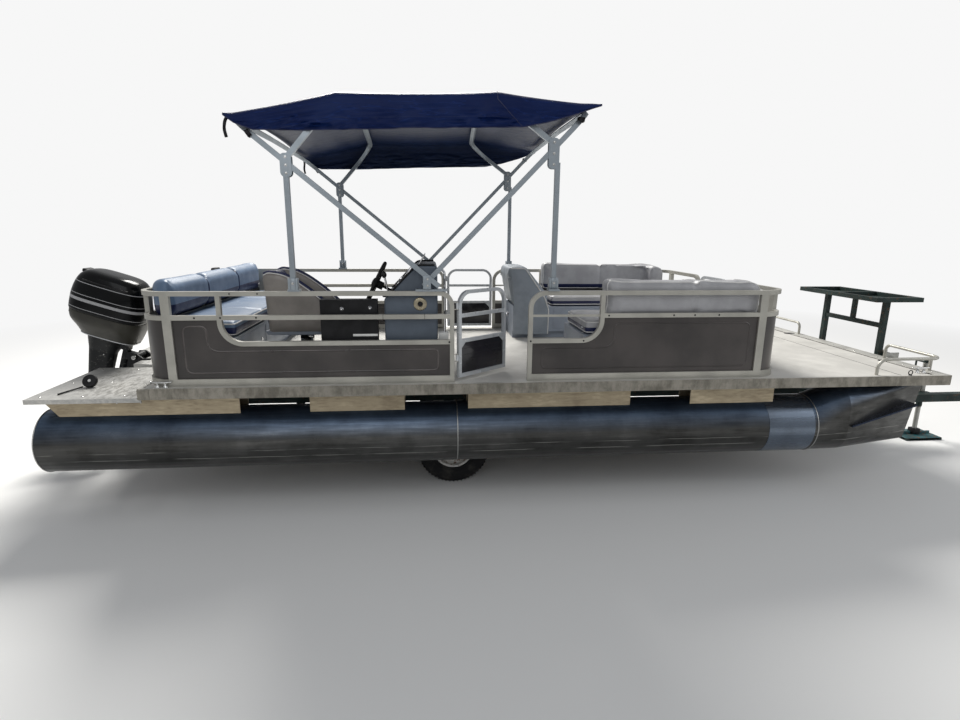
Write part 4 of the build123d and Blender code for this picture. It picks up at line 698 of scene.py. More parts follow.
# rings of points on rounded squares, bridged into a shell and closed at both ends
def addShell(bm, rings, squareness, paint=0, sides=48, move=None):
    part = bmesh.new()
    loops = []
    for middle, halfX, halfY in rings:
        made = bmesh.ops.create_circle(part, segments=sides, radius=1.0)["verts"]
        for vert in made:
            angle = atan2(vert.co.y, vert.co.x)
            x, y = cos(angle), sin(angle)
            size = (abs(x) ** squareness + abs(y) ** squareness) ** (-1 / squareness)
            vert.co = Vector(middle) + Vector((x * size * halfX, y * size * halfY, 0))
        loops.append(list({edge for vert in made for edge in vert.link_edges}))
    for low, high in zip(loops[:-1], loops[1:]):
        bmesh.ops.bridge_loops(part, edges=low + high)
    for loop in (loops[0], loops[-1]):
        bmesh.ops.holes_fill(part, edges=loop, sides=0)
    bmesh.ops.recalc_face_normals(part, faces=part.faces)
    join(bm, part, paint, move)


# puts a finished mesh into the scene, on its body, with its looks, and hides the nodes that it stands for
def makePiece(name, bm, paints, body="boat", replaced=(), sharp=35):
    mesh = bpy.data.meshes.new(name)
    bm.to_mesh(mesh)
    bm.free()
    for paint in paints:
        mesh.materials.append(looks[paint])
    mesh.shade_smooth()
    mesh.set_sharp_from_angle(angle=radians(sharp))
    piece = bpy.data.objects.new(name, mesh)
    scene.collection.objects.link(piece)
    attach(piece, body)
    if replaced:
        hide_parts(*replaced)
    return piece


def addModifier(piece, kind, **settings):
    made = piece.modifiers.new(kind.lower(), kind)
    for name, value in settings.items():
        setattr(made, name, value)
    return made


# turns the modifiers into plain mesh
def applyAll(piece):
    bpy.context.view_layer.update()
    shaped = bpy.data.meshes.new_from_object(piece.evaluated_get(bpy.context.evaluated_depsgraph_get()))
    old = piece.data
    piece.modifiers.clear()
    piece.data = shaped
    bpy.data.meshes.remove(old)


# Canopy: one sheet over the four bows, with its sides turned down

canopy = {
    # station, height of the bows' corners
    "tops": [(0.723, 1.768), (0.88, 1.803), (1.434, 1.921), (2.473, 1.95), (2.85, 1.915), (3.173, 1.884)],
    # station, height of the hem
    "hems": [(0.723, 1.785), (0.79, 1.738), (0.905, 1.7), (1.291, 1.706), (1.926, 1.733), (2.635, 1.755),
             (2.814, 1.79), (2.994, 1.842), (3.12, 1.886), (3.173, 1.902)],
    # stations where a bow or a hem carries the cloth, and the widest gap between two of them
    "bars": [0.723, 0.76, 1.434, 2.473, 3.12, 3.173], "gap": 1.04,
    "half": 1.1898, "rise": 0.0298, "crown": 0.06, "corner": 0.055, "thick": 0.0035,
    "sag": 0.019, "flutter": 0.009, "along": 160, "rows": 124, "piping": 0.0035, "seamLean": 0.17,
    # shares of the half width where the bend starts and where the side starts
    "bendFrom": 0.6, "sideFrom": 0.7,
    "flat": (2.5, 2.72), "area": 6.8,
}


# the value of a row of (station, value) points at a station
def along(rows, station):
    for (a, first), (b, second) in zip(rows[:-1], rows[1:]):
        if station <= b + 1e-6:
            return first + (second - first) * max(0.0, (station - a) / (b - a))
    return rows[-1][1]


# how free the cloth hangs at a station: 0 over a bow, 1 midway between the two far ones
def slack(station):
    for a, b in zip(canopy["bars"][:-1], canopy["bars"][1:]):
        if station <= b + 1e-6:
            t = max(0.0, (station - a) / (b - a))
            return min(1.0, (b - a) / canopy["gap"]) * 4 * t * (1 - t)
    return 0.0


# a point of the sheet: w runs from -1 at the starboard hem to 1 at the port one
def canopyPoint(station, w):
    loose = slack(station)
    shoulder = along(canopy["tops"], station) + canopy["rise"]
    hem = min(along(canopy["hems"], station), shoulder - 0.01)
    half = canopy["half"]
    bend = min(canopy["corner"], 0.8 * (shoulder - hem))
    flatHalf = half - bend
    side, reach = (1 if w >= 0 else -1), abs(w)
    crease = noise.noise(Vector((station * 7, w * 2.1, 0.3))) + 0.5 * noise.noise(Vector((station * 17, w * 5, 4.0)))
    bendFrom, sideFrom = canopy["bendFrom"], canopy["sideFrom"]
    if reach <= bendFrom:
        y = reach / bendFrom * flatHalf
        z = shoulder + canopy["crown"] * (1 - (y / flatHalf) ** 2)
        z -= canopy["sag"] * loose * (1 - 0.35 * (y / flatHalf) ** 4) * (1 + 0.4 * crease)
        distance = y
    elif reach <= sideFrom:
        angle = (reach - bendFrom) / (sideFrom - bendFrom) * pi / 2
        y = flatHalf + bend * sin(angle)
        z = shoulder - bend * (1 - cos(angle)) - canopy["sag"] * loose * 0.65 * cos(angle) ** 2
        distance = flatHalf + bend * angle
    else:
        t = (reach - sideFrom) / (1 - sideFrom)
        spring = shoulder - bend
        z = spring + (hem - spring) * t
        # waves along the hem, then the hang of the cloth: broad bags, ridges and small creases
        wave = sin(station * 21 + side) + 0.7 * sin(station * 43 + 2.3 * side) + 0.5 * crease
        deep = min(1.0, (shoulder - hem) / 0.2)
        fold = canopy["flutter"] * t * (0.3 + 0.7 * loose) * wave * 0.5 * deep
        drop = t * deep
        bag = noise.noise(Vector((station * 2.4, drop * 4.5 + side, 7.0)))
        small = noise.noise(Vector((station * 13 + drop * 5, drop * 9 - station * 4, 2.0 + side)))
        ridge = abs(noise.noise(Vector((station * 5 - drop * 2, drop * 7 + station * 1.5, 11.0 + side))))
        fold += deep * min(1.0, 5 * t) * (0.014 * bag + 0.007 + 0.05 * (0.3 - ridge) * t + 0.01 * small * t)
        y = half + max(0.0005, fold)
        seam = station - canopy["tops"][3][0] - canopy["seamLean"] * t
        y += 0.005 * deep * (1 - t) ** 0.5 * max(0.0, 1 - abs(seam) / 0.03) ** 2
        distance = flatHalf + bend * pi / 2 + (spring - z)
    return Vector(aboard(station, side * y, z)), side * distance


bm = bmesh.new()
cutLayer = bm.loops.layers.uv.new("cut")
bmesh.ops.create_grid(bm, x_segments=canopy["along"], y_segments=canopy["rows"], size=1.0)
aftEnd, frontEnd = canopy["tops"][0][0], canopy["tops"][-1][0]
cuts = {}
for vert in bm.verts:
    station = aftEnd + (vert.co.x + 1) / 2 * (frontEnd - aftEnd)
    place, distance = canopyPoint(station, vert.co.y)
    cuts[vert] = (station, distance)
    vert.co = place
for face in bm.faces:
    for loop in face.loops:
        loop[cutLayer].uv = cuts[loop.vert]
canopySheet = makePiece("canopy_sheet", bm, ["canvas", "canvasUnder"], replaced=["canopy"],
                        sharp=80)
addModifier(canopySheet, "SOLIDIFY", thickness=canopy["thick"], offset=-1, material_offset=1, material_offset_rim=0)
applyAll(canopySheet)

# piping over the two middle bows, along both hems and across both ends
bm = bmesh.new()
for station, span, lean in ((canopy["tops"][2][0], canopy["bendFrom"], 0.0),
                            (canopy["tops"][3][0], 1.0, canopy["seamLean"])):
    line = []
    for step in range(121):
        w = span * (-1 + step / 60)
        shift = lean * max(0.0, (abs(w) - canopy["sideFrom"]) / (1 - canopy["sideFrom"]))
        line.append(canopyPoint(station + shift, w)[0] + Vector((0, 0, 0.001)))
    addTube(bm, line, canopy["piping"] * 0.7, 0, rings=2)
for w in (-1, 1):
    line = [canopyPoint(aftEnd + (frontEnd - aftEnd) * step / 120, w)[0] for step in range(121)]
    addTube(bm, line, canopy["piping"], 0, rings=2)
for station in (aftEnd, frontEnd):
    line = [canopyPoint(station, -1 + 2 * step / 150)[0] for step in range(151)]
    addTube(bm, line, canopy["piping"], 0, rings=2)
canopyPiping = makePiece("canopy_piping", bm, ["vinylNavy"])
print("canopy is stretched over its bows")

# Cushions

pads = {"inset": 0.007, "voxel": 0.016, "cap": 0.012, "fill": 0.75, "piping": 0.005, "pressure": 4.0, "frames": 20}
inset = pads["inset"]


# blows a closed shell up as cloth under pressure, and keeps each point within cap of its start
def swell(piece, voxel, cap):
    addModifier(piece, "REMESH", mode="VOXEL", voxel_size=voxel)
    addModifier(piece, "SMOOTH", factor=0.5, iterations=2)
    applyAll(piece)
    starts = [vert.co.copy() for vert in piece.data.vertices]
    cloth = addModifier(piece, "CLOTH")
    cloth.settings.use_pressure = True
    cloth.settings.uniform_pressure_force = pads["pressure"]
    cloth.settings.effector_weights.gravity = 0
    cloth.settings.quality = 4
    cloth.point_cache.frame_start = 1
    cloth.point_cache.frame_end = pads["frames"]
    for step in range(1, pads["frames"] + 1):
        scene.frame_set(step)
    applyAll(piece)
    scene.frame_set(1)
    for vert, start in zip(piece.data.vertices, starts):
        move = vert.co - start
        if move.length > cap:
            vert.co = start + move.normalized() * cap
    addModifier(piece, "SUBSURF", levels=1, render_levels=1)
    applyAll(piece)
    piece.data.shade_smooth()


# a run of piping where a plane cuts the cushion
def addPiping(bm, piece, place, way, radius, paint=0):
    part = bmesh.new()
    part.from_mesh(piece.data)
    bmesh.ops.bisect_plane(part, geom=part.verts[:] + part.edges[:] + part.faces[:], plane_co=place, plane_no=way,
                           clear_inner=True, clear_outer=True)
    left = dict.fromkeys(part.verts)
    while left:
        chain = [left.popitem()[0]]
        grew = True
        while grew:
            grew = False
            for edge in chain[-1].link_edges:
                other = edge.other_vert(chain[-1])
                if other in left:
                    left.pop(other)
                    chain.append(other)
                    grew = True
                    break
        if len(chain) > 12:
            line = [vert.co.copy() for vert in chain]
            for turn in range(3):
                line = [(line[i - 1] + line[i] * 2 + line[(i + 1) % len(line)]) / 4 for i in range(len(line))]
            addTube(bm, line[::2] if len(line) > 60 else line, radius, paint, closed=True, rings=2)
    part.free()


def padShape(outline, low, high, soft, plane="XY", bends=0.03):
    bm = bmesh.new()
    addPlate(bm, outline, low, high, plane, bends, soft)
    return bm


def joinPads(name, shapes, look, replaced, body="boat"):
    bm = bmesh.new()
    for shape in shapes:
        join(bm, shape)
    return makePiece(name, bm, [look], body, [replaced])


seat = {"low": up(0.3303), "high": up(0.4453), "backLow": up(0.4456), "backHigh": up(0.75)}
sternLow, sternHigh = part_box("stern_lounge_cushions")
sternAft = sternLow.x
sternHalf = sternHigh.y
stern = {"bend": 0.15, "backDepth": 0.17, "seatSoft": 0.026, "backSoft": 0.07}
lounges = {
    "port": {"side": 1, "start": at(2.87), "seat": at(3.24), "back": at(3.24), "split": at(3.9), "end": at(4.56)},
    "starboard": {"side": -1, "start": at(3.15), "seat": at(3.15), "back": at(3.3), "split": at(4.0),
                  "end": at(4.56)},
    "wall": fenceY - rail / 2 - 0.022, "depth": 0.6, "overhang": 0.015, "backDepth": 0.165,
    "turnDepth": 0.34, "slope": 0.06, "slopeLength": 0.24, "seatSoft": 0.026, "backSoft": 0.04,
    # the reach of each corner of a back that turns round the bow corner
    "turnBends": [0.0, 0.13, 0.04, 0.04, 0.08, 0.0],
}


# a pad's outline, with an arc where it meets a corner of the fence
def sternOutline(y0, y1, front):
    aft, bend = sternAft + inset, stern["bend"]
    points = []
    for y, way in ((y0 + inset, 1), (y1 - inset, -1)):
        side = [(front - inset, y)]
        if abs(y) > sternHalf - 0.03:
            side += [(aft + bend * (1 - sin(k * pi / 12)), y + way * bend * (1 - cos(k * pi / 12))) for k in range(7)]
        else:
            side.append((aft, y))
        points += side[::way]
    return points


thirds = [-sternHalf, -sternHalf / 3, sternHalf / 3, sternHalf]
seatShapes, backShapes = [], []
for y0, y1 in zip(thirds[:-1], thirds[1:]):
    seatShapes.append(padShape(sternOutline(y0, y1, sternHigh.x), seat["low"] + 0.004, seat["high"] - inset,
                               stern["seatSoft"], bends=0.0))
    backShapes.append(padShape(sternOutline(y0, y1, sternAft + stern["backDepth"]), seat["backLow"] + inset,
                               seat["backHigh"] - inset, stern["backSoft"], bends=0.0))
softGoods = [(joinPads("stern_seat_pads", seatShapes, "sternSeatVinyl", "stern_lounge_cushions"), "stern"),
             (joinPads("stern_back_pads", backShapes, "sternBackVinyl", "stern_lounge_cushions"), "stern")]

for group in ("port", "starboard"):
    facts = lounges[group]
    side, x0, x1, middle = facts["side"], facts["start"], facts["end"], facts["split"]
    wall = side * lounges["wall"]
    edge = side * (lounges["wall"] - lounges["depth"] - lounges["overhang"])
    backEdge = side * (lounges["wall"] - lounges["backDepth"])
    seatShapes, backShapes = [], []
    for left, right in ((facts["seat"], middle), (middle, x1)):
        seatShapes.append(padShape(square(left, right, wall, edge, inset), seat["low"] + 0.004, seat["high"] - inset,
                                   lounges["seatSoft"]))
    for left, right in ((facts["back"], middle), (middle, x1)):
        if right < x1:
            outline = square(left, right, wall, backEdge, inset)
        else:
            turned = lounges["turnDepth"]
            hook = [(left + inset, wall - side * inset), (right - inset, wall - side * inset),
                    (right - inset, wall - side * turned), (right - 0.14, wall - side * turned),
                    (right - 0.17, backEdge + side * inset), (left + inset, backEdge + side * inset)]
            outline = [point.to_tuple()[:2] for point in rounded([(*point, 0) for point in hook],
                                                                 lounges["turnBends"], closed=True)]
            outline = [point for index, point in enumerate(outline) if point != outline[index - 1]]
        shape = padShape(outline, seat["backLow"] + inset, seat["backHigh"] - inset, lounges["backSoft"],
                         bends=0.0 if right == x1 else 0.03)
        # the back's top falls towards the bow
        for vert in shape.verts:
            if vert.co.z > seat["backLow"] + 0.15:
                near = max(0.0, (vert.co.x - x1 + lounges["slopeLength"]) / lounges["slopeLength"])
                vert.co.z -= lounges["slope"] * near ** 2
        backShapes.append(shape)
    made = [(group + "_seat_pads", seatShapes, "seatVinyl"), (group + "_back_pads", backShapes, "backVinyl")]
    if group == "port":
        near, far = sorted((wall, edge))
        slope = [(x0 + inset, seat["low"] + 0.004), (facts["seat"] - inset, seat["low"] + 0.004),
                 (facts["seat"] - inset, seat["high"] - 0.02), (x0 + 0.112, seat["backHigh"] - 0.022),
                 (x0 - 0.056, seat["backHigh"] - 0.022), (x0 - 0.06, seat["backHigh"] - 0.062)]
        endRest = padShape(slope, near + inset + 0.01, far - inset, lounges["seatSoft"], "XZ", 0.022)
        made.append((group + "_end_rest", [endRest], "vinylGrey"))
    softGoods += [(joinPads(name, shapes, look, group + "_lounge_cushions"), group) for name, shapes, look in made]

trims = {group: bmesh.new() for group in ("stern", "port", "starboard")}
for piece, group in softGoods:
    swell(piece, pads["voxel"], pads["cap"])
    trim, thick = trims[group], pads["piping"]
    if "seat" in piece.name:
        for height in (seat["high"] - 0.022, seat["low"] + 0.02):
            addPiping(trim, piece, (0, 0, height), (0, 0, 1), thick)
    elif group == "stern":
        for y in (sternHalf / 3, -sternHalf / 3):
            for lean in (-0.006, 0.006):
                addPiping(trim, piece, (0, y + lean + (0.012 if y > 0 else -0.012), 0), (0, 1, 0), thick * 0.7, 1)
    else:
        edges = (0.025 - lounges["backDepth"], -0.025) if "back" in piece.name else (-0.03, 0.012 - lounges["depth"])
        for edge in edges:
            addPiping(trim, piece, (0, lounges[group]["side"] * (lounges["wall"] + edge), 0), (0, 1, 0), thick)
for group, trim in trims.items():
    makePiece(group + "_piping", trim, ["vinylWhite", "vinylNavy"], replaced=[group + "_lounge_cushions"])
print("lounge cushions are filled")

# Helm chair: a moulded bucket with padded wings and a navy rim

# outlines are distances ahead of the pedestal and heights over its top
chair = {
    "x": at(1.05), "y": -0.66, "floor": up(0.25), "half": 0.245, "wing": 0.075, "voxel": 0.012, "cap": 0.007,
    "fill": 0.8, "panHalf": 0.236, "rimRadius": 0.016, "pipingRadius": 0.004, "pipingLane": 0.024,
    "wingPad": [(-0.232, 0.066), (0.228, 0.066), (0.255, 0.104), (0.255, 0.215), (0.232, 0.262), (0.178, 0.318),
                (0.09, 0.396), (-0.01, 0.47), (-0.11, 0.52), (-0.205, 0.532), (-0.248, 0.512), (-0.256, 0.47)],
    "backPad": [(-0.252, 0.1), (-0.118, 0.196), (-0.168, 0.515), (-0.205, 0.534), (-0.248, 0.516)],
    "seatPad": [(-0.15, 0.09), (0.254, 0.09), (0.256, 0.196), (-0.14, 0.178)],
    "pan": [(-0.236, 0.062), (0.236, 0.062), (0.252, 0.094), (-0.254, 0.094)],
    "rim": [(0.252, 0.225), (0.232, 0.258), (0.178, 0.314), (0.09, 0.391), (-0.01, 0.465), (-0.11, 0.515),
            (-0.205, 0.527), (-0.24, 0.51)],
    "swivel": [(0.0381, 0.0), (0.052, 0.0), (0.052, 0.045), (0.06, 0.05), (0.11, 0.054), (0.11, 0.062),
               (0.0381, 0.062)],
    "lever": [(0.05, -0.15, 0.056), (0.06, -0.245, 0.056), (0.09, -0.252, 0.052)],
}
cx, cy, cz = chair["x"], chair["y"], chair["floor"]
chairBody = nodeBody["helm_chair"]


def chairLine(points):
    return [(cx + ahead, cz + rise) for ahead, rise in points]


wingShapes = []
for side in (-1, 1):
    near, far = sorted((side * (chair["half"] - inset), side * (chair["half"] - chair["wing"] + 0.003)))
    wingShapes.append(padShape(chairLine(chair["wingPad"]), cy + near, cy + far, 0.02, "XZ", 0.012))
padHalf = chair["half"] - chair["wing"]
backShape = padShape(chairLine(chair["backPad"]), cy - padHalf, cy + padHalf, 0.02, "XZ", 0.014)
seatShape = padShape(chairLine(chair["seatPad"]), cy - padHalf, cy + padHalf, 0.022, "XZ", 0.016)
for name, shapes, look in (("chair_wings", wingShapes, "vinylBeige"), ("chair_back_pad", [backShape], "vinylNavy"),
                           ("chair_seat_pad", [seatShape], "vinylGrey")):
    piece = joinPads(name, shapes, look, "helm_chair", chairBody)
    swell(piece, chair["voxel"], chair["cap"])
bm = bmesh.new()
for side in (-1, 1):
    y = cy + side * padHalf + side * chair["wing"] / 2
    rim = [(x, y, z) for x, z in chairLine(chair["rim"])]
    addTube(bm, rounded(rim, 0.05), chair["rimRadius"], 0, rings=4)
    for lane in (-chair["pipingLane"], chair["pipingLane"]):
        addTube(bm, rounded([(x, y + lane, z - 0.004) for x, y, z in rim], 0.05), chair["pipingRadius"], 1, rings=2)
makePiece("chair_rim", bm, ["vinylNavy", "vinylWhite"], chairBody)
bm = bmesh.new()
addPlate(bm, chairLine(chair["pan"]), cy - chair["panHalf"], cy + chair["panHalf"], "XZ", 0.008, 0.006, 0)
addLathe(bm, chair["swivel"], (cx, cy, cz), (0, 0, 1), 1)
addPlate(bm, square(cx - 0.15, cx + 0.15, cy - 0.13, cy + 0.13), cz + 0.05, cz + 0.063, "XY", 0.02, 0.002, 1)
addTube(bm, rounded([(cx + x, cy + y, cz + z) for x, y, z in chair["lever"]], 0.02), 0.006, 2)
makePiece("chair_base", bm, ["basePlastic", "blackPlastic", "steel"], chairBody, ["helm_chair"])
print("helm chair is upholstered")

# Outboard: cowl, pan and trim

pivot, tilt = outboard["pivot"], outboard["tilt"]
tiltMove = Matrix.Translation(pivot) @ Matrix.Rotation(tilt, 4, "Y") @ Matrix.Translation(-pivot)


# distances behind the pivot and heights over it, as points of an outline
def behind(points):
    return [(pivot.x - back, pivot.z + rise) for back, rise in points]


def addCowlShell(bm, rows, paint):
    rings = [((pivot.x - (front + back) / 2, 0, pivot.z + rise), (back - front) / 2, half)
             for rise, front, back, half in rows]
    addShell(bm, rings, outboard["squareness"], paint, move=tiltMove)


# more rows between the given ones, along a smooth curve through them
def smoothRows(rows, steps=3):
    line = []
    for index in range(len(rows) - 1):
        p0, p1 = rows[max(0, index - 1)], rows[index]
        p2, p3 = rows[index + 1], rows[min(len(rows) - 1, index + 2)]
        for step in range(steps):
            t = step / steps
            line.append(tuple(0.5 * (2 * b + (c - a) * t + (2 * a - 5 * b + 4 * c - d) * t * t
                                     + (3 * b - a - 3 * c + d) * t ** 3) for a, b, c, d in zip(p0, p1, p2, p3)))
    return line + [rows[-1]]


bm = bmesh.new()
addCowlShell(bm, smoothRows(outboard["rings"]), 0)
addCowlShell(bm, smoothRows(outboard["panRings"]), 1)
addCowlShell(bm, outboard["gasket"], 2)
addCowlShell(bm, outboard["lowTrim"], 3)
makePiece("cowl_shell", bm, ["cowlPaint", "panPaint", "rubber", "silver"], nodeBody["cowl"], ["cowl"],
          sharp=50)
bm = bmesh.new()
for side in (-1, 1):
    addPlate(bm, behind(square(0.12, 0.48, 0.56, 0.572)), side * 0.1674, side * 0.19158, "XZ", 0.004, 0.003, 0,
             tiltMove)
addPlate(bm, behind(outboard["latch"]), -0.035, 0.035, "XZ", 0.004, 0.003, 0, tiltMove)
addBox(bm, (pivot.x - 0.56, -0.06, pivot.z + 0.6), (pivot.x - 0.5, 0.06, pivot.z + 0.628), 0.008, 0, tiltMove)
makePiece("cowl_fittings", bm, ["blackPlastic"], nodeBody["cowl"])

# Propeller: three thin blades twisted about the hub
prop = {
    "hub": 0.046, "tip": 0.165, "root": 0.006, "pitch": 0.36, "chord": 0.118, "thick": 0.006, "sweep": 0.18,
    "drop": 0.748, "ahead": 0.206, "gear": 0.15, "middle": 0.055, "rake": 0.012,
    "hubProfile": [(0.013, 0.0), (0.04, 0.0), (0.046, 0.012), (0.046, 0.07), (0.041, 0.11), (0.036, 0.11),
                   (0.03, 0.1), (0.013, 0.1)],
}
shaftZ = pivot.z - prop["drop"]
hubFront = pivot.x - outboard["steerBack"] - prop["gear"] - prop["ahead"]
bm = bmesh.new()
addLathe(bm, prop["hubProfile"], (hubFront, 0, shaftZ), (-1, 0, 0), 0, move=tiltMove)
for turn in (0, 120, 240):
    part = bmesh.new()
    bmesh.ops.create_grid(part, x_segments=14, y_segments=12, size=1.0)
    for vert in part.verts:
        reach = (vert.co.x + 1) / 2
        radius = prop["hub"] - prop["root"] + reach * (prop["tip"] - prop["hub"] + prop["root"])
        # broad in the middle, narrow at the root and rounded at the tip
        chord = prop["chord"] * sqrt(max(0.02, 1 - abs(reach * 1.35 - 0.62) ** 2.6)) * (1 - 0.75 * reach ** 9)
        arc = vert.co.y * chord / 2
        lean = atan2(prop["pitch"], 2 * pi * radius)
        angle = arc * cos(lean) / radius + prop["sweep"] * reach ** 2
        vert.co = (hubFront - prop["middle"] - arc * sin(lean) * 0.8 - prop["rake"] * reach, radius * sin(angle),
                   radius * cos(angle))
    bmesh.ops.solidify(part, geom=part.faces[:], thickness=prop["thick"])
    bmesh.ops.recalc_face_normals(part, faces=part.faces)
    spinTurn = Matrix.Translation((0, 0, shaftZ)) @ Matrix.Rotation(radians(turn), 4, "X")
    join(bm, part, 0, tiltMove @ spinTurn)
makePiece("propeller_blades", bm, ["blackPlastic"], nodeBody["propeller"], ["propeller"], sharp=60)
print("outboard is dressed")

# Console with its dash

console = {
    "side": [(1.69, 0.0), (1.69, 0.61), (1.735, 0.64), (1.925, 0.838), (2.07, 0.838), (2.07, 0.0)],
    "near": -1.109, "far": -0.47, "dashMiddle": -0.79,
    "dashFoot": (1.735, 0.64), "dashTop": (1.925, 0.838), "dashOut": Vector((-0.7215, 0, 0.6924)),
    # height up the dash, place across and radius
    "gauges": [(0.72, -0.99, 0.04), (0.72, -0.88, 0.04), (0.72, -0.7, 0.04), (0.72, -0.59, 0.04),
               (0.3, -1.0, 0.026), (0.3, -0.575, 0.026)],
    "ticks": 11, "switches": 6, "switchStep": 0.062,
}
dashOut = console["dashOut"]


# a place on the sloped dash: t from 0 at its foot to 1 at its top, y across, out from the face
def onDash(t, y, out=0.0):
    foot, top = placed([console["dashFoot"], console["dashTop"]])
    return Vector((foot[0], y, foot[1])).lerp(Vector((top[0], y, top[1])), t) + dashOut * out


# the same place as a turn, for shapes that lie on the face
def faceOf(t, y, out=0.006):
    return aimed(onDash(t, y, out), dashOut)


bm = bmesh.new()
addPlate(bm, placed(console["side"]), console["near"], console["far"], "XZ", 0.022, 0.014, 0)
for y in (console["near"] + 0.012, console["far"] - 0.012):
    addTube(bm, rounded([onDash(-0.1, y, 0.006), onDash(1.0, y, 0.006), aboard(2.05, y, 0.844)], 0.03), 0.007, 1)
makePiece("console_body", bm, ["consolePlastic", "blackPlastic"], replaced=["console"], sharp=40)
bm = bmesh.new()
addPlate(bm, square(-0.27, 0.27, -0.1, 0.1), 0.0, 0.006, "XY", 0.02, 0.002, 0,
         faceOf(0.5, console["dashMiddle"], 0.0))
for index, (t, y, size) in enumerate(console["gauges"]):
    place, face = onDash(t, y, 0.006), faceOf(t, y)
    addLathe(bm, [(0, 0.0), (size * 0.86, 0.0), (size * 0.9, 0.005), (size, 0.006), (size * 1.06, 0.0)], place,
             dashOut, 1)
    addLathe(bm, [(0, 0.0035), (size * 0.84, 0.0035), (size * 0.84, 0.0)], place, dashOut, 2)
    for tick in range(console["ticks"]):
        mark = face @ Matrix.Rotation(radians(-135 + tick * 27), 4, "Z")
        addBox(bm, (-0.0008, size * 0.62, 0.0036), (0.0008, size * 0.8, 0.0042), 0, 0, mark)
    needle = face @ Matrix.Rotation(radians(-70 + 23 * index), 4, "Z")
    addBox(bm, (-0.0012, -size * 0.1, 0.0042), (0.0012, size * 0.7, 0.0054), 0, 3, needle)
for row in range(console["switches"]):
    face = faceOf(0.16, -0.95 + row * console["switchStep"])
    addBox(bm, (-0.018, -0.009, 0.0), (0.018, 0.009, 0.005), 0.0015, 0, face)
    addBox(bm, (-0.014, -0.006, 0.004), (0.014, 0.006, 0.01), 0.002, 3 if row == 2 else 0, face)
makePiece("dash_gauges", bm, ["blackPlastic", "chrome", "dialFace", "redLens"])
print("console is fitted out")

# Fence: pressed beads in the panels, screws, joint lines, flanged feet and strips under the low rail

fence = {
    "y": 1.15, "rail": 0.032, "board": 0.002, "bead": 0.008,
    # station and height of the beads' corners with the reach of each bend
    "aftBead": [(0.315, 0.092, 0.05), (0.315, 0.425, 0.05), (0.47, 0.425, 0.04), (0.47, 0.246, 0.2),
                (2.07, 0.246, 0.04), (2.07, 0.092, 0.04)],
    "frontBead": [(4.42, 0.092, 0.05), (4.42, 0.425, 0.05), (3.37, 0.425, 0.04), (3.37, 0.246, 0.2),
                  (2.83, 0.246, 0.04), (2.83, 0.092, 0.04)],
    # height, size and stations of each row of screws
    "screws": [(0.485, 0.007, [0.406, 0.578, 0.817, 3.318, 3.811, 3.973, 4.16]), (0.65, 0.006, [0.652, 0.837]),
               (0.3, 0.007, [2.15, 2.743, 3.137])],
    "joints": [1.683, 1.976], "jointHeights": (0.4685, 0.5016),
    "feet": [0.33, 0.9, 1.5, 2.05, 2.86, 3.4, 3.95, 4.43], "footHalf": 0.034,
    # strip that closes the gap under the low rail: end of the fence, its gate post, where it stops across the boat
    "strips": [(0.02, 2.166, 0.0), (4.71, 2.727, 0.316)], "corner": 0.2, "stripOut": 0.0165, "stripIn": 0.0125,
}
bm = bmesh.new()
for side in (-1, 1):
    y = side * (fence["y"] + fence["board"] - 0.0045)
    # the aft beads take the lighter paint, a painted highlight; the front ones keep the panel's paint
    for paint, route in enumerate((fence["frontBead"], fence["aftBead"])):
        points = [aboard(station, y, rise) for station, rise, reach in route]
        addTube(bm, rounded(points, [reach for station, rise, reach in route], closed=True), fence["bead"], paint,
                True, 2)
makePiece("fence_beads", bm, ["panelPaint", "beadPaint"], sharp=60)
bm = bmesh.new()
for side in (-1, 1):
    for rise, size, stations in fence["screws"]:
        for station in stations:
            addScrew(bm, aboard(station, side * (fence["y"] + fence["rail"] / 2), rise), (0, side, 0), size, 0)
    for station in fence["joints"]:
        low, high = fence["jointHeights"]
        addBox(bm, (at(station) - 0.0015, side * (fence["y"] - 0.0165), up(low)),
               (at(station) + 0.0015, side * (fence["y"] + 0.0166), up(high)), 0, 1)
    for station in fence["feet"]:
        addPlate(bm, square(at(station) - fence["footHalf"], at(station) + fence["footHalf"],
                            side * (fence["y"] - 0.03), side * (fence["y"] + 0.022)),
                 up(0.0), up(0.005), "XY", 0.006, 0.001, 2)
        addBolt(bm, aboard(station, side * (fence["y"] - 0.023), 0.005), (0, 0, 1), 0.007, 0)
makePiece("fence_hardware", bm, ["blackPlastic", "kick", "railMetal"])
bm = bmesh.new()
for side in (-1, 1):
    for end, post, stop in fence["strips"]:
        inward = 1 if end < post else -1
        middle = Vector((at(end) + inward * fence["corner"], side * (fence["y"] - fence["corner"])))
        lines = []
        for out in (fence["stripOut"], fence["stripIn"]):
            bend = [middle + (fence["corner"] + out) * Vector((-inward * sin(angle), side * cos(angle)))
                    for angle in (pi / 2 * step / 12 for step in range(13))]
            lines.append([Vector((at(post), side * (fence["y"] + out))), *bend,
                          Vector((at(end) - inward * out, side * stop))])
        addPlate(bm, [tuple(point) for point in lines[0] + lines[1][::-1]], up(0.0005), up(0.0203), "XY")
makePiece("fence_strips", bm, ["railMetal"])
print("fence is detailed")

# Gates: smoked lower panels, latch knobs, corner gussets and hinge strips, each in its gate's own axes

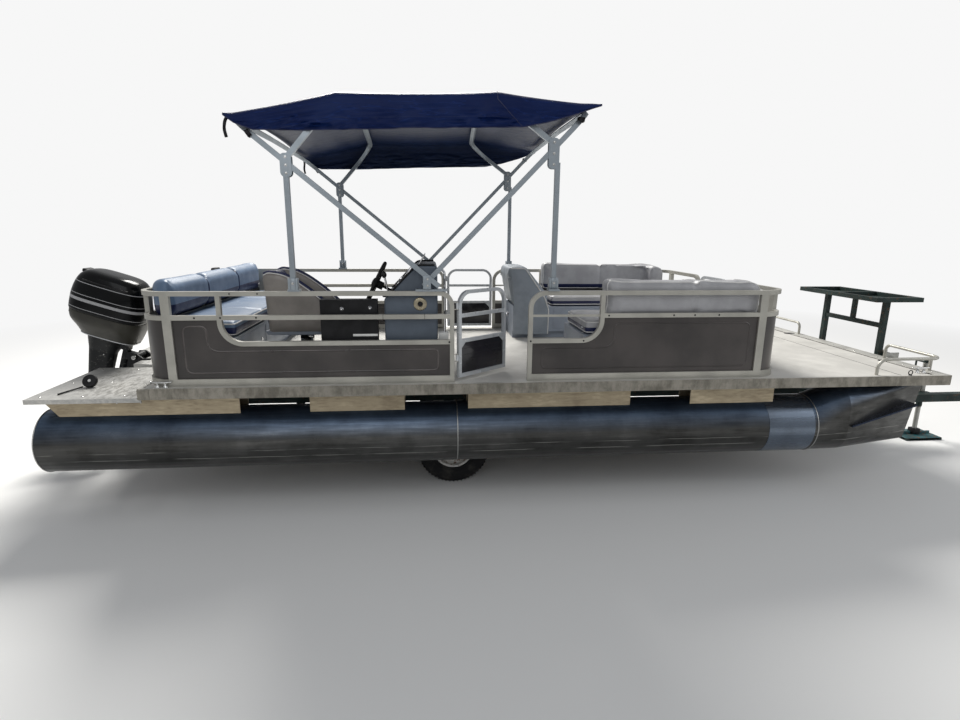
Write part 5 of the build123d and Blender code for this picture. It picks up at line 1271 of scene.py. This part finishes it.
gates = {
    "gate_starboard": {"place": (2.208, -1.15), "turn": 40, "free": 0.4955, "outside": -1},
    "gate_port": {"place": (2.208, 1.15), "turn": 0, "free": 0.4955, "outside": 1},
    "gate_bow": {"place": (4.71, -0.262), "turn": 90, "free": 0.5255, "outside": -1},
}
gate = {
    "left": 0.034, "low": 0.058, "high": 0.2875, "gusset": 0.045, "ribs": (0.105, 0.15, 0.195, 0.24),
    "screws": (0.075, 0.25, 0.425), "hingeScrews": 12, "hingeStep": 0.042,
    "knob": [(0, 0.03), (0.01, 0.029), (0.015, 0.024), (0.015, 0.016), (0.007, 0.01), (0.007, 0.0)],
}
for name, facts in gates.items():
    station, y = facts["place"]
    move = Matrix.Translation((at(station), y, 0)) @ Matrix.Rotation(radians(facts["turn"]), 4, "Z")
    free, outside = facts["free"], facts["outside"]
    left, right = gate["left"], free - 0.0135
    bm = bmesh.new()
    for face in (-1, 1):
        addPlate(bm, square(left, right, up(gate["low"]), up(gate["high"])), face * 0.0018, face * 0.0045, "XZ",
                 0.006, 0.001, 0, move)
        for rise in gate["ribs"]:
            addRod(bm, (left + 0.03, face * 0.004, up(rise)), (right - 0.03, face * 0.004, up(rise)), 0.0016, 0, 8,
                   move=move)
        for corner, lean in ((left, 1), (right, -1)):
            gusset = [(corner, up(gate["high"])), (corner + lean * gate["gusset"], up(gate["high"])),
                      (corner, up(gate["high"] - gate["gusset"]))]
            addPlate(bm, gusset, face * 0.0045, face * 0.007, "XZ", 0.0, 0.001, 1, move)
        for spot in gate["screws"]:
            addScrew(bm, (spot, face * 0.0125, up(0.3)), (0, face, 0), 0.005, 2, move)
    addLathe(bm, gate["knob"], (free - 0.001, outside * 0.014, up(0.46)), (0, outside, 0), 2, 16, move)
    addBox(bm, (free - 0.0145, -0.0145, up(0.425)), (free + 0.0127, 0.0145, up(0.495)), 0.003, 1, move)
    addBox(bm, (0.007, -0.014, up(0.045)), (0.0105, 0.014, up(0.56)), 0.001, 1, move)
    for step in range(gate["hingeScrews"]):
        addScrew(bm, (0.0072, 0, up(0.07 + step * gate["hingeStep"])), (-1, 0, 0), 0.004, 2, move)
    makePiece(name + "_fittings", bm, ["smokePanel", "gatePaint", "chrome"], nodeBody[name])
print("gates are detailed")

# Bimini: post sockets, foot brackets, bolts and straps

bimini = {
    # station and distance from the middle
    "posts": [(1.085, 1.1675), (2.9, 1.1325)],
    # half length, half width and height
    "socket": (0.033, 0.025, 0.103), "socketLow": 0.68,
    # station, height, spread of the bolts and distance from the middle
    "plates": [(1.09, 1.49, 0.05, 1.1675), (2.87, 1.6, 0.072, 1.1325)],
    "plateFace": 0.0211, "bolt": 0.01, "foot": (1.995, 0.0275, 0.676, 0.1), "tube": 0.0172, "cuff": 0.022,
    # station, height and lean of the cuffs, then the points of the loose tails
    "cuffs": [(0.866, 1.681, 0.19, 1.1675), (3.052, 1.822, -0.62, 1.1325)],
    "tail": [(0.738, 1.17, 1.772), (0.734, 1.197, 1.745), (0.726, 1.197, 1.7), (0.735, 1.195, 1.655)],
}
tube, cuff = bimini["tube"], bimini["cuff"]
bm = bmesh.new()
for side in (-1, 1):
    for station, y in bimini["posts"]:
        wide, deep, tall = bimini["socket"]
        low = bimini["socketLow"]
        for x0, x1, y0, y1 in ((-wide, -tube, -deep, deep), (tube, wide, -deep, deep), (-tube, tube, -deep, -tube),
                               (-tube, tube, tube, deep)):
            addBox(bm, (at(station) + x0, side * y + y0, up(low)),
                   (at(station) + x1, side * y + y1, up(low + tall * 0.75)), 0.003, 0)
        for face in (1, -1):
            addBolt(bm, aboard(station, side * (y + face * deep), 0.722), (0, face * side, 0), bimini["bolt"], 1)
    for station, level, spacing, y in bimini["plates"]:
        for face in (-1, 1):
            for lift in (-spacing, 0.0, spacing):
                addBolt(bm, aboard(station, side * y + face * bimini["plateFace"], level + lift), (0, face, 0),
                        bimini["bolt"], 1)
    station, wide, low, tall = bimini["foot"]
    start, end, face = at(station) - wide, at(station) + wide, side * 1.1905
    addPlate(bm, square(start, end, up(low), up(low + tall)), side * 1.186, face, "XZ", 0.008, 0.001, 0)
    addBox(bm, (start, side * 1.15, up(0.6795)), (end, face, up(0.6845)), 0.001, 0)
    for rise in (0.706, 0.752):
        addBolt(bm, (at(station) + 0.004, face, up(rise)), (0, side, 0), 0.009, 1)
makePiece("bimini_hardware", bm, ["bowMetal", "steel"])
bm = bmesh.new()
for side in (-1, 1):
    tail = rounded([aboard(station, side * y, rise) for station, y, rise in bimini["tail"]], 0.02)
    for low, high in zip(tail[:-1], tail[1:]):
        addRod(bm, low, high + (high - low) * 0.15, 0.01, 0, 8)
    for station, rise, lean, y in bimini["cuffs"]:
        move = Matrix.Translation(aboard(station, side * y, rise)) @ Matrix.Rotation(lean + pi / 4, 4, "Y")
        for x0, x1, y0, y1 in ((-cuff, cuff, -cuff, -tube), (-cuff, cuff, tube, cuff), (-cuff, -tube, -cuff, cuff),
                               (tube, cuff, -cuff, cuff)):
            addBox(bm, (x0, y0, -0.014), (x1, y1, 0.014), 0.0015, 0, move)
makePiece("canopy_straps", bm, ["kick"])
print("bimini is detailed")

# Pontoons: weld rings, the stern cap's rim and the lapped band before the nose

pontoon = {"y": 0.9915, "z": 0.5885, "radius": 0.2285, "welds": [-0.736, 2.208, 5.046], "weld": 0.0042,
           "band": (4.64, 5.02)}
bm = bmesh.new()
for side in (-1, 1):
    for station in pontoon["welds"]:
        addTube(bm, circleOf((at(station), side * pontoon["y"], pontoon["z"]), pontoon["radius"] + 0.0005, 72),
                pontoon["weld"], 0, True, 2)
makePiece("pontoon_welds", bm, ["weld"], sharp=60)
# the band's blue tint is a painted sky reflection
bm = bmesh.new()
for side in (-1, 1):
    start, end = pontoon["band"]
    r, long = pontoon["radius"], end - start
    addLathe(bm, [(r - 0.001, 0.0), (r + 0.0022, 0.001), (r + 0.0022, long - 0.001), (r - 0.001, long),
                  (r - 0.001, 0.0)], (at(start), side * pontoon["y"], pontoon["z"]), (1, 0, 0), 0, 96)
makePiece("pontoon_bands", bm, ["bandMetal"], sharp=40)
print("pontoons are detailed")

# Deck: cleats, drains, sewn joints, end strip and an eye ring

deck = {
    # side, station and distance in from the deck's edge
    "cleats": [(-1, 0.145, 0.04), (-1, 5.93, 0.11), (1, 0.145, 0.04), (1, 5.2, 0.11), (1, 5.93, 0.11)],
    "half": 1.22, "drains": [(5.985, -0.69), (5.985, 0.64)], "drainStretch": 1.7,
    "seams": [(5.7, 0.004), (5.96, 0.01)], "strip": (5.972, 6.072, 1.192), "stripTop": 0.0026,
    "ring": (5.764, -1.196, 0.025), "ringRadius": 0.017,
}
bm = bmesh.new()
for side, station, inward in deck["cleats"]:
    x, y = at(station), side * (deck["half"] - inward)
    lift = 0.003 if inward < 0.05 else 0.0
    for foot in (-0.028, 0.028):
        addShell(bm, [((x + foot, y, up(lift)), 0.017, 0.013), ((x + foot, y, up(lift + 0.005)), 0.016, 0.012),
                      ((x + foot * 0.92, y, up(0.016)), 0.008, 0.007),
                      ((x + foot * 0.9, y, up(0.034)), 0.008, 0.0075)], 2.4, 0, 20)
    for end in (-1, 1):
        addRod(bm, (x, y, up(0.036)), (x + end * 0.034, y, up(0.036)), 0.008, 0, 16)
        addRod(bm, (x + end * 0.033, y, up(0.036)), (x + end * 0.068, y, up(0.039)), 0.008, 0, 16, tip=0.0055)
        addBall(bm, (x + end * 0.068, y, up(0.039)), 0.0056, 0)
makePiece("deck_cleats", bm, ["steel"], replaced=["cleats"], sharp=50)
bm = bmesh.new()
for station, y in deck["drains"]:
    longer = Matrix.Translation((at(station), 0, 0)) @ Matrix.Diagonal((deck["drainStretch"], 1, 1, 1))
    addLathe(bm, [(0, 0.004), (0.03, 0.0038), (0.036, 0.002), (0.038, 0.0)], (0, y, up(0.0)), (0, 0, 1), 0, 28, longer)
for station, width in deck["seams"]:
    addBox(bm, (at(station) - width / 2, -1.19, up(0.0)), (at(station) + width / 2, 1.19, up(0.0012)), 0, 0)
start, end, half = deck["strip"]
addPlate(bm, square(at(start), at(end), -half, half), up(0.0), up(deck["stripTop"]), "XY", 0.0, 0.0008, 1)
for k in range(9):
    addScrew(bm, (at((start + end) / 2), -1.12 + k * 0.28, up(deck["stripTop"])), (0, 0, 1), 0.006, 2)
station, y, rise = deck["ring"]
addTube(bm, circleOf(aboard(station, y, rise), deck["ringRadius"], 28, "Y"), 0.0036, 0, True, 3)
addLathe(bm, [(0, 0.008), (0.007, 0.008), (0.011, 0.003), (0.012, 0.0)], aboard(station, y, 0.003), (0, 0, 1), 0, 16)
makePiece("deck_fittings", bm, ["blackPlastic", "trimMetal", "steel"])
print("deck is fitted out")

# Stern: hanging bolts, a knob on its rod, the trim's end blocks and the light's foot on the fence

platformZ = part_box("stern_platforms")[1].z
sternFittings = {
    # station of the hanging bolts, their distance from the middle, top and bottom
    "hangers": (-0.18, -0.02), "hangerPlace": (1.15, 0.94, 0.902, 0.912),
    "screwStations": (-0.7, -0.42, -0.14), "screwPlaces": (0.33, 0.74, 1.12),
    "blockSide": (-0.004, 0.075, 0.946), "blockFaces": (1.208, 1.223),
}
knob = {
    "place": (at(-0.5), -0.866, platformZ + 0.044), "out": 0.1, "across": -1, "rise": 0.62,
    "half": [(0, 0.016), (0.014, 0.016), (0.016, 0.02), (0.046, 0.017), (0.05, 0.01), (0.05, 0.0)],
    "button": [(0, 0.019), (0.01, 0.018), (0.012, 0.015)],
}
bm = bmesh.new()
addRod(bm, (at(-0.606), -1.075, platformZ + 0.006), (at(-0.535), -0.905, platformZ + 0.012), 0.006, 1, 12)
for way in (1, -1):
    addLathe(bm, knob["half"], knob["place"], (knob["out"], way * knob["across"], way * knob["rise"]), 1, 28)
addLathe(bm, knob["button"], knob["place"], (knob["out"], knob["across"], knob["rise"]), 3, 16)
for side in (-1, 1):
    y, top, low, nut = sternFittings["hangerPlace"]
    for station in sternFittings["hangers"]:
        addRod(bm, (at(station), side * y, top), (at(station), side * y, low), 0.005, 0, 10)
        addBolt(bm, (at(station), side * y, nut), (0, 0, -1), 0.01, 0)
    for station in sternFittings["screwStations"]:
        for y in sternFittings["screwPlaces"]:
            addScrew(bm, (at(station), side * y, platformZ), (0, 0, 1), 0.008, 0)
    start, end, low = sternFittings["blockSide"]
    inner, outer = sternFittings["blockFaces"]
    addPlate(bm, square(at(start), at(end), low, up(-0.004)), side * inner, side * outer, "XZ", 0.004, 0.001, 2)
addRod(bm, (at(0.03), 0.37, fenceTop), (at(0.03), 0.37, fenceTop + 0.032), 0.012, 1, 16)
addBox(bm, (at(0.006), 0.31, fenceTop + 0.028), (at(0.052), 0.43, fenceTop + 0.062), 0.01, 1)
makePiece("stern_fittings", bm, ["steel", "blackPlastic", "trimMetal", "whitePlastic"])
print("stern is fitted out")

# Lounge bases: doors with latches, and the starboard one's arm bracket

doors = {
    "port": [(3.285, 3.68), (3.72, 4.115), (4.155, 4.52)],
    "starboard": [(3.2, 3.62), (3.66, 4.08), (4.12, 4.52)],
    "low": 0.095, "high": 0.305, "proud": 0.004, "face": 0.512, "bends": 0.018, "soft": 0.0015,
    "sternFace": at(0.636), "sternMiddles": (-0.72, 0.0, 0.72), "sternHalf": 0.33,
}
bm = bmesh.new()
for group, side in (("port", 1), ("starboard", -1)):
    inner, outer = side * (doors["face"] - doors["proud"]), side * doors["face"]
    for start, end in doors[group]:
        addPlate(bm, square(at(start), at(end), up(doors["low"]), up(doors["high"])), inner, outer, "XZ",
                 doors["bends"], doors["soft"], 0)
        addBox(bm, (at(end) - 0.05, inner - side * 0.003, up(0.18)), (at(end) - 0.028, outer, up(0.215)), 0.002, 1)
for y in doors["sternMiddles"]:
    face = doors["sternFace"]
    addPlate(bm, square(y - doors["sternHalf"], y + doors["sternHalf"], up(doors["low"]), up(doors["high"])),
             face, face + doors["proud"], "YZ", doors["bends"], doors["soft"], 0)
    addBox(bm, (face, y + 0.262, up(0.185)), (face + 0.007, y + 0.284, up(0.22)), 0.002, 1)
makePiece("lounge_doors", bm, ["basePlastic", "chrome"])
bm = bmesh.new()
for rise in (0.345, 0.392):
    addTube(bm, rounded([aboard(3.3, -1.0, rise + 0.058), aboard(3.205, -1.0, rise),
                         aboard(3.165, -1.0, rise - 0.02)], 0.02), 0.008, 0)
addLathe(bm, [(0, 0.012), (0.022, 0.011), (0.028, 0.004), (0.028, -0.02), (0, -0.02)],
         aboard(3.205, -1.0, 0.422), (0, 0, 1), 1, 20)
makePiece("arm_bracket", bm, ["silver", "whitePlastic"])
print("lounge bases are detailed")

# Port end rest: its side panel down to the deck with white piping round it

rest = {
    "outline": [(2.872, 0.045), (3.232, 0.045), (3.236, 0.3), (3.19, 0.43), (2.985, 0.722), (2.826, 0.722),
                (2.872, 0.4)],
    "edge": [(3.226, 0.05), (3.23, 0.3), (3.184, 0.428), (2.98, 0.716), (2.832, 0.716)],
    "inner": 0.4845, "outer": 0.5025, "piping": 0.0055,
}
bm = bmesh.new()
addPlate(bm, placed(rest["outline"]), rest["inner"], rest["outer"], "XZ", 0.02, 0.004, 0)
addTube(bm, rounded([(x, rest["inner"], z) for x, z in placed(rest["edge"])], 0.03), rest["piping"], 1)
makePiece("port_rest_side", bm, ["vinylGrey", "vinylWhite"])
print("end rest has its side")

# Console fittings, storage box studs and the wheel's centre

helm = {
    "port": (1.945, 0.569), "portRing": [(0.016, 0.001), (0.02, 0.006), (0.04, 0.007), (0.046, 0.004), (0.048, 0.0)],
    "portPlug": [(0, 0.003), (0.018, 0.002), (0.018, 0.0)], "studs": [(1.39, 0.535), (1.589, 0.541)],
    "stud": [(0, 0.012), (0.006, 0.011), (0.01, 0.006), (0.014, 0.002), (0.014, 0.0)], "box": -1.106,
    # opposite corners of the box's catch, the throttle's foot and the grab rail's foot, with softness and paint
    "blocks": [((1.463, -1.11, 0.338), (1.638, -1.104, 0.355), 0.002, 3),
               ((1.676, -1.06, 0.611), (1.735, -0.96, 0.64), 0.006, 1),
               ((2.076, -1.08, 0.295), (2.148, -1.01, 0.355), 0.006, 3)],
    "lever": [(1.715, -1.01, 0.64), (1.69, -1.01, 0.76)], "ball": (1.688, -1.01, 0.768),
    "rail": [(2.075, -1.06, 0.815), (2.122, -1.06, 0.8), (2.122, -1.06, 0.32), (2.075, -1.06, 0.3)],
    "screen": [(1.935, 0.836), (1.94, 0.836), (1.985, 0.905), (1.98, 0.905)],
    "wheel": (1.61, -0.8, 0.69), "lean": radians(26),
    "hub": [(0, 0.03), (0.026, 0.028), (0.036, 0.02), (0.038, 0.008), (0.038, -0.012), (0, -0.012)],
    "cap": [(0, 0.033), (0.014, 0.032), (0.019, 0.028), (0.019, 0.026)],
    "spoke": [(0.028, -0.017), (0.158, -0.011), (0.158, 0.011), (0.028, 0.017)], "spokeHalf": 0.0105,
}
bm = bmesh.new()
station, rise = helm["port"]
for profile, paint, steps in ((helm["portRing"], 0, 32), (helm["portPlug"], 1, 24)):
    addLathe(bm, profile, aboard(station, console["near"], rise), (0, -1, 0), paint, steps)
for station, rise in helm["studs"]:
    addLathe(bm, helm["stud"], aboard(station, helm["box"], rise), (0, -1, 0), 2, 20)
for low, high, soft, paint in helm["blocks"]:
    addBox(bm, aboard(*low), aboard(*high), soft, paint)
# throttle lever and its ball, grab rail, then the low screen on top
start, end = helm["lever"]
addRod(bm, aboard(*start), aboard(*end), 0.007, 2, 14)
addBall(bm, aboard(*helm["ball"]), 0.019, 1, (1, 1, 1.25))
addTube(bm, rounded([aboard(*point) for point in helm["rail"]], 0.03), 0.009, 2)
addPlate(bm, placed(helm["screen"]), -1.06, -0.52, "XZ", 0.0, 0.001, 4)
makePiece("console_fittings", bm, ["brass", "blackPlastic", "chrome", "whitePlastic", "smokePanel"])
bm = bmesh.new()
station, y, rise = helm["wheel"]
wheelMiddle, wheelWay = aboard(station, y, rise), (-cos(helm["lean"]), 0, sin(helm["lean"]))
addLathe(bm, helm["hub"], wheelMiddle, wheelWay, 0, 28)
addLathe(bm, helm["cap"], wheelMiddle, wheelWay, 1, 24)
for turn in (90, 210, 330):
    addPlate(bm, helm["spoke"], -helm["spokeHalf"], helm["spokeHalf"], "XY", 0.0, 0.004, 0,
             aimed(wheelMiddle, wheelWay) @ Matrix.Rotation(radians(turn), 4, "Z"))
makePiece("wheel_centre", bm, ["blackPlastic", "chrome"], nodeBody["steering_wheel"])
print("helm is fitted out")

# Outboard: clamp screws, pivot caps, the leg's bolts, water inlets, prop nut and anode

clamp = {"y": 0.083, "z": 0.93, "handle": at(-0.392), "spread": 0.032,
         # ends, radius and sides of the screw and of its pad
         "rods": [(-0.425, -0.4, 0.011, 16), (-0.401, -0.385, 0.02, 20)],
         "bolts": (0.1, 0.22), "cap": [(0, 0.01), (0.018, 0.009), (0.022, 0.003), (0.022, 0.0)]}
bm = bmesh.new()
for side in (-1, 1):
    y, z = side * clamp["y"], clamp["z"]
    for start, end, radius, sides in clamp["rods"]:
        addRod(bm, (at(start), y, z), (at(end), y, z), radius, 0, sides)
    addRod(bm, (clamp["handle"], y - clamp["spread"], z), (clamp["handle"], y + clamp["spread"], z), 0.006, 0, 12)
    for drop in clamp["bolts"]:
        addBolt(bm, (at(-0.505), side * 0.0965, pivot.z - drop), (0, side, 0), 0.01, 0)
    addLathe(bm, clamp["cap"], (pivot.x, side * 0.104, pivot.z), (0, side, 0), 0, 24)
makePiece("clamp_screws", bm, ["steel"])
# drop under the pivot and distance from the middle of the bolts, then the rows of slots
leg = {"bolts": [(0.06, 0.06), (0.3, 0.052), (0.47, 0.052)], "slots": 5, "slotStep": 0.012,
       "nut": [(0.0125, 0.0), (0.024, 0.0), (0.024, 0.01), (0.018, 0.026), (0.0, 0.03)]}
legFront = pivot.x - outboard["steerBack"]
bm = bmesh.new()
for side in (-1, 1):
    for drop, y in leg["bolts"]:
        addBolt(bm, (legFront - 0.15, side * y, pivot.z - drop), (0, side, 0), 0.009, 0, tiltMove)
    for row in range(leg["slots"]):
        low = pivot.z - 0.64 - row * leg["slotStep"]
        addBox(bm, (legFront - 0.128, side * 0.0395, low), (legFront - 0.098, side * 0.0365, low + 0.005), 0, 1,
               tiltMove)
addLathe(bm, leg["nut"], (hubFront - 0.1105, 0, shaftZ), (-1, 0, 0), 2, 20, tiltMove)
anode = [(x - outboard["steerBack"], z) for x, z in behind(outboard["anode"])]
addPlate(bm, anode, -0.006, 0.006, "XZ", 0.004, 0.002, 2, tiltMove)
makePiece("leg_fittings", bm, ["steel", "kick", "zinc"], nodeBody["drive_leg"])
print("outboard has its fittings")

# Trailer: tyres with tread, lug nuts, hub caps, jack sleeve and foot, lamps and winch

trailer = {
    "axle": 2.2, "track": 0.6, "tyre": 0.3, "width": 0.178, "rim": 0.168, "lugs": 5, "lugRing": 0.078,
    # the side of the tyre: height over the rim, or under the tread, and distance in from the side
    "overRim": [(0.001, 0.022), (0.004, 0.012), (0.02, 0.008), (0.024, 0.004), (0.045, 0.0015), (0.07, 0.001)],
    "underTread": [(0.038, 0.006), (0.024, 0.013), (0.01, 0.022), (0.002, 0.034)],
    "grooves": (-0.036, -0.012, 0.012, 0.036), "blocks": 56, "blockHalf": (0.0045, 0.014),
    "lug": [(0, 0.016), (0.007, 0.015), (0.0105, 0.01), (0.0115, 0.0), (0.0115, -0.01)],
    "cap": [(0, 0.03), (0.022, 0.029), (0.032, 0.022), (0.034, 0.0), (0.04, -0.006)],
}
half, r, rim = trailer["width"] / 2, trailer["tyre"], trailer["rim"]
for side, name in ((1, "port"), (-1, "starboard")):
    x, y, z = at(trailer["axle"]), side * trailer["track"], r
    bm = bmesh.new()
    profile = [(rim + over, -half + inward) for over, inward in trailer["overRim"]]
    profile += [(r - under, -half + inward) for under, inward in trailer["underTread"]]
    grooves = []
    for groove in trailer["grooves"]:
        grooves += [(r, groove - 0.0034), (r - 0.006, groove - 0.0024), (r - 0.006, groove + 0.0024),
                    (r, groove + 0.0034)]
    whole = profile + grooves + [(radius, -reach) for radius, reach in reversed(profile)]
    addLathe(bm, whole + [whole[0]], (x, y, z), (0, 1, 0), 0, 96)
    for edge in (-1, 1):
        for k in range(trailer["blocks"]):
            turn = 2 * pi * (k + 0.5 * (edge > 0)) / trailer["blocks"]
            long, wide = trailer["blockHalf"]
            addBox(bm, (-long, edge * 0.057 - wide, r - 0.0062), (long, edge * 0.057 + wide, r - 0.0005), 0, 0,
                   Matrix.Translation((x, y, z)) @ Matrix.Rotation(turn, 4, "Y"))
    makePiece("tyre_" + name + "_rubber", bm, ["tyreRubber"], nodeBody["tyre_" + name], ["tyre_" + name],
              sharp=30)
    bm = bmesh.new()
    for spot in circleOf((x, y + side * 0.04, z), trailer["lugRing"], trailer["lugs"], "Y"):
        addLathe(bm, trailer["lug"], spot, (0, side, 0), 0, 12)
    addLathe(bm, trailer["cap"], (x, y + side * 0.048, z), (0, side, 0), 1, 28)
    makePiece("hub_" + name, bm, ["zinc", "steel"], nodeBody["rim_" + name])

jack = {"x": at(7.15), "y": 0.082, "foot": (0.2, 0.14),
        # inner and outer radius, low end and length of the two sleeves
        "sleeves": [(0.0212, 0.0222, 0.075, 0.256), (0.0282, 0.0292, 0.5, 0.301)],
        "web": [(0.045, -0.012), (0.18, -0.004), (0.18, 0.004), (0.045, 0.012)]}
bm = bmesh.new()
x, y = jack["x"], jack["y"]
for inner, outer, low, long in jack["sleeves"]:
    addLathe(bm, [(inner, 0.0), (outer, 0.001), (outer, long - 0.001), (inner, long), (inner, 0.0)], (x, y, low),
             (0, 0, 1), 0, 28)
long, wide = jack["foot"]
addPlate(bm, square(x - long, x + long, y - wide, y + wide), 0.0005, 0.0275, "XY", 0.03, 0.006, 1)
for lean in (-1, 1):
    addPlate(bm, [(x + lean * ahead, y + across) for ahead, across in jack["web"]], 0.027, 0.055, "XY", 0.0, 0.001, 1)
addBox(bm, (x - 0.04, y - 0.04, 0.03), (x + 0.04, y + 0.04, 0.092), 0.008, 2)
addRod(bm, (x, y + 0.124, 0.705), (x, y + 0.124, 0.59), 0.013, 3, 16, 0.003)
makePiece("jack_dressing", bm, ["zinc", "tealPaint", "blackPlastic", "rubber"])

stand = {"x": at(6.18), "y": 0.38, "half": 0.0225, "boltHeight": 0.255, "winchReach": 0.075, "winchHeight": -0.04,
         # place of the drum's flanges across, their profile and the drum's
         "flanges": (-0.052, 0.048),
         "flange": [(0.03, 0.0), (0.052, 0.0), (0.052, 0.004), (0.03, 0.004), (0.03, 0.0)],
         "drum": [(0.0342, -0.044), (0.043, -0.042), (0.046, 0.0), (0.043, 0.042), (0.0342, 0.044)],
         "grip": (-0.196, -0.108, -0.17)}
bm = bmesh.new()
x, y, z = stand["x"] + stand["half"] + stand["winchReach"], -stand["y"], up(stand["winchHeight"])
for across in stand["flanges"]:
    addLathe(bm, stand["flange"], (x, y + across, z), (0, 1, 0), 0, 32)
addLathe(bm, stand["drum"], (x, y, z), (0, 1, 0), 1, 32)
start, end, drop = stand["grip"]
addRod(bm, (x, y + start, z + drop), (x, y + end, z + drop), 0.0175, 2, 20, 0.004)
for side in (-1, 1):
    for rise in (-0.045, 0.045):
        addBolt(bm, (stand["x"] + 0.0305, y + side * 0.06, z + rise), (1, 0, 0), 0.009, 0)
    addBolt(bm, (stand["x"], side * (stand["y"] - stand["half"]), up(stand["boltHeight"])), (0, -side, 0), 0.009, 0)
addRod(bm, (at(7.64), -0.078, 0.42), (at(7.64), -0.066, 0.42), 0.009, 0, 12)
makePiece("stand_fittings", bm, ["zinc", "carpet", "rubber"])

tailLamp = {"inner": 0.5, "outer": 0.632, "back": at(-0.196), "front": at(-0.1895), "low": 0.4345, "high": 0.4755,
            "ribs": 5, "ribStep": 0.025}
bm = bmesh.new()
for side in (-1, 1):
    low, high = sorted((side * tailLamp["inner"], side * tailLamp["outer"]))
    back = tailLamp["back"]
    addBox(bm, (back, low, tailLamp["low"]), (tailLamp["front"], high, tailLamp["high"]), 0.003, 0)
    for k in range(tailLamp["ribs"]):
        y = low + 0.016 + k * tailLamp["ribStep"]
        addRod(bm, (back - 0.0005, y, 0.436), (back - 0.0005, y, 0.474), 0.0022, 0, 8)
    for rise in (0.4365, 0.4735):
        addScrew(bm, (back - 0.0002, (low + high) / 2, rise), (-1, 0, 0), 0.004, 1)
makePiece("lamp_lenses", bm, ["redLens", "steel"])
print("trailer is dressed")
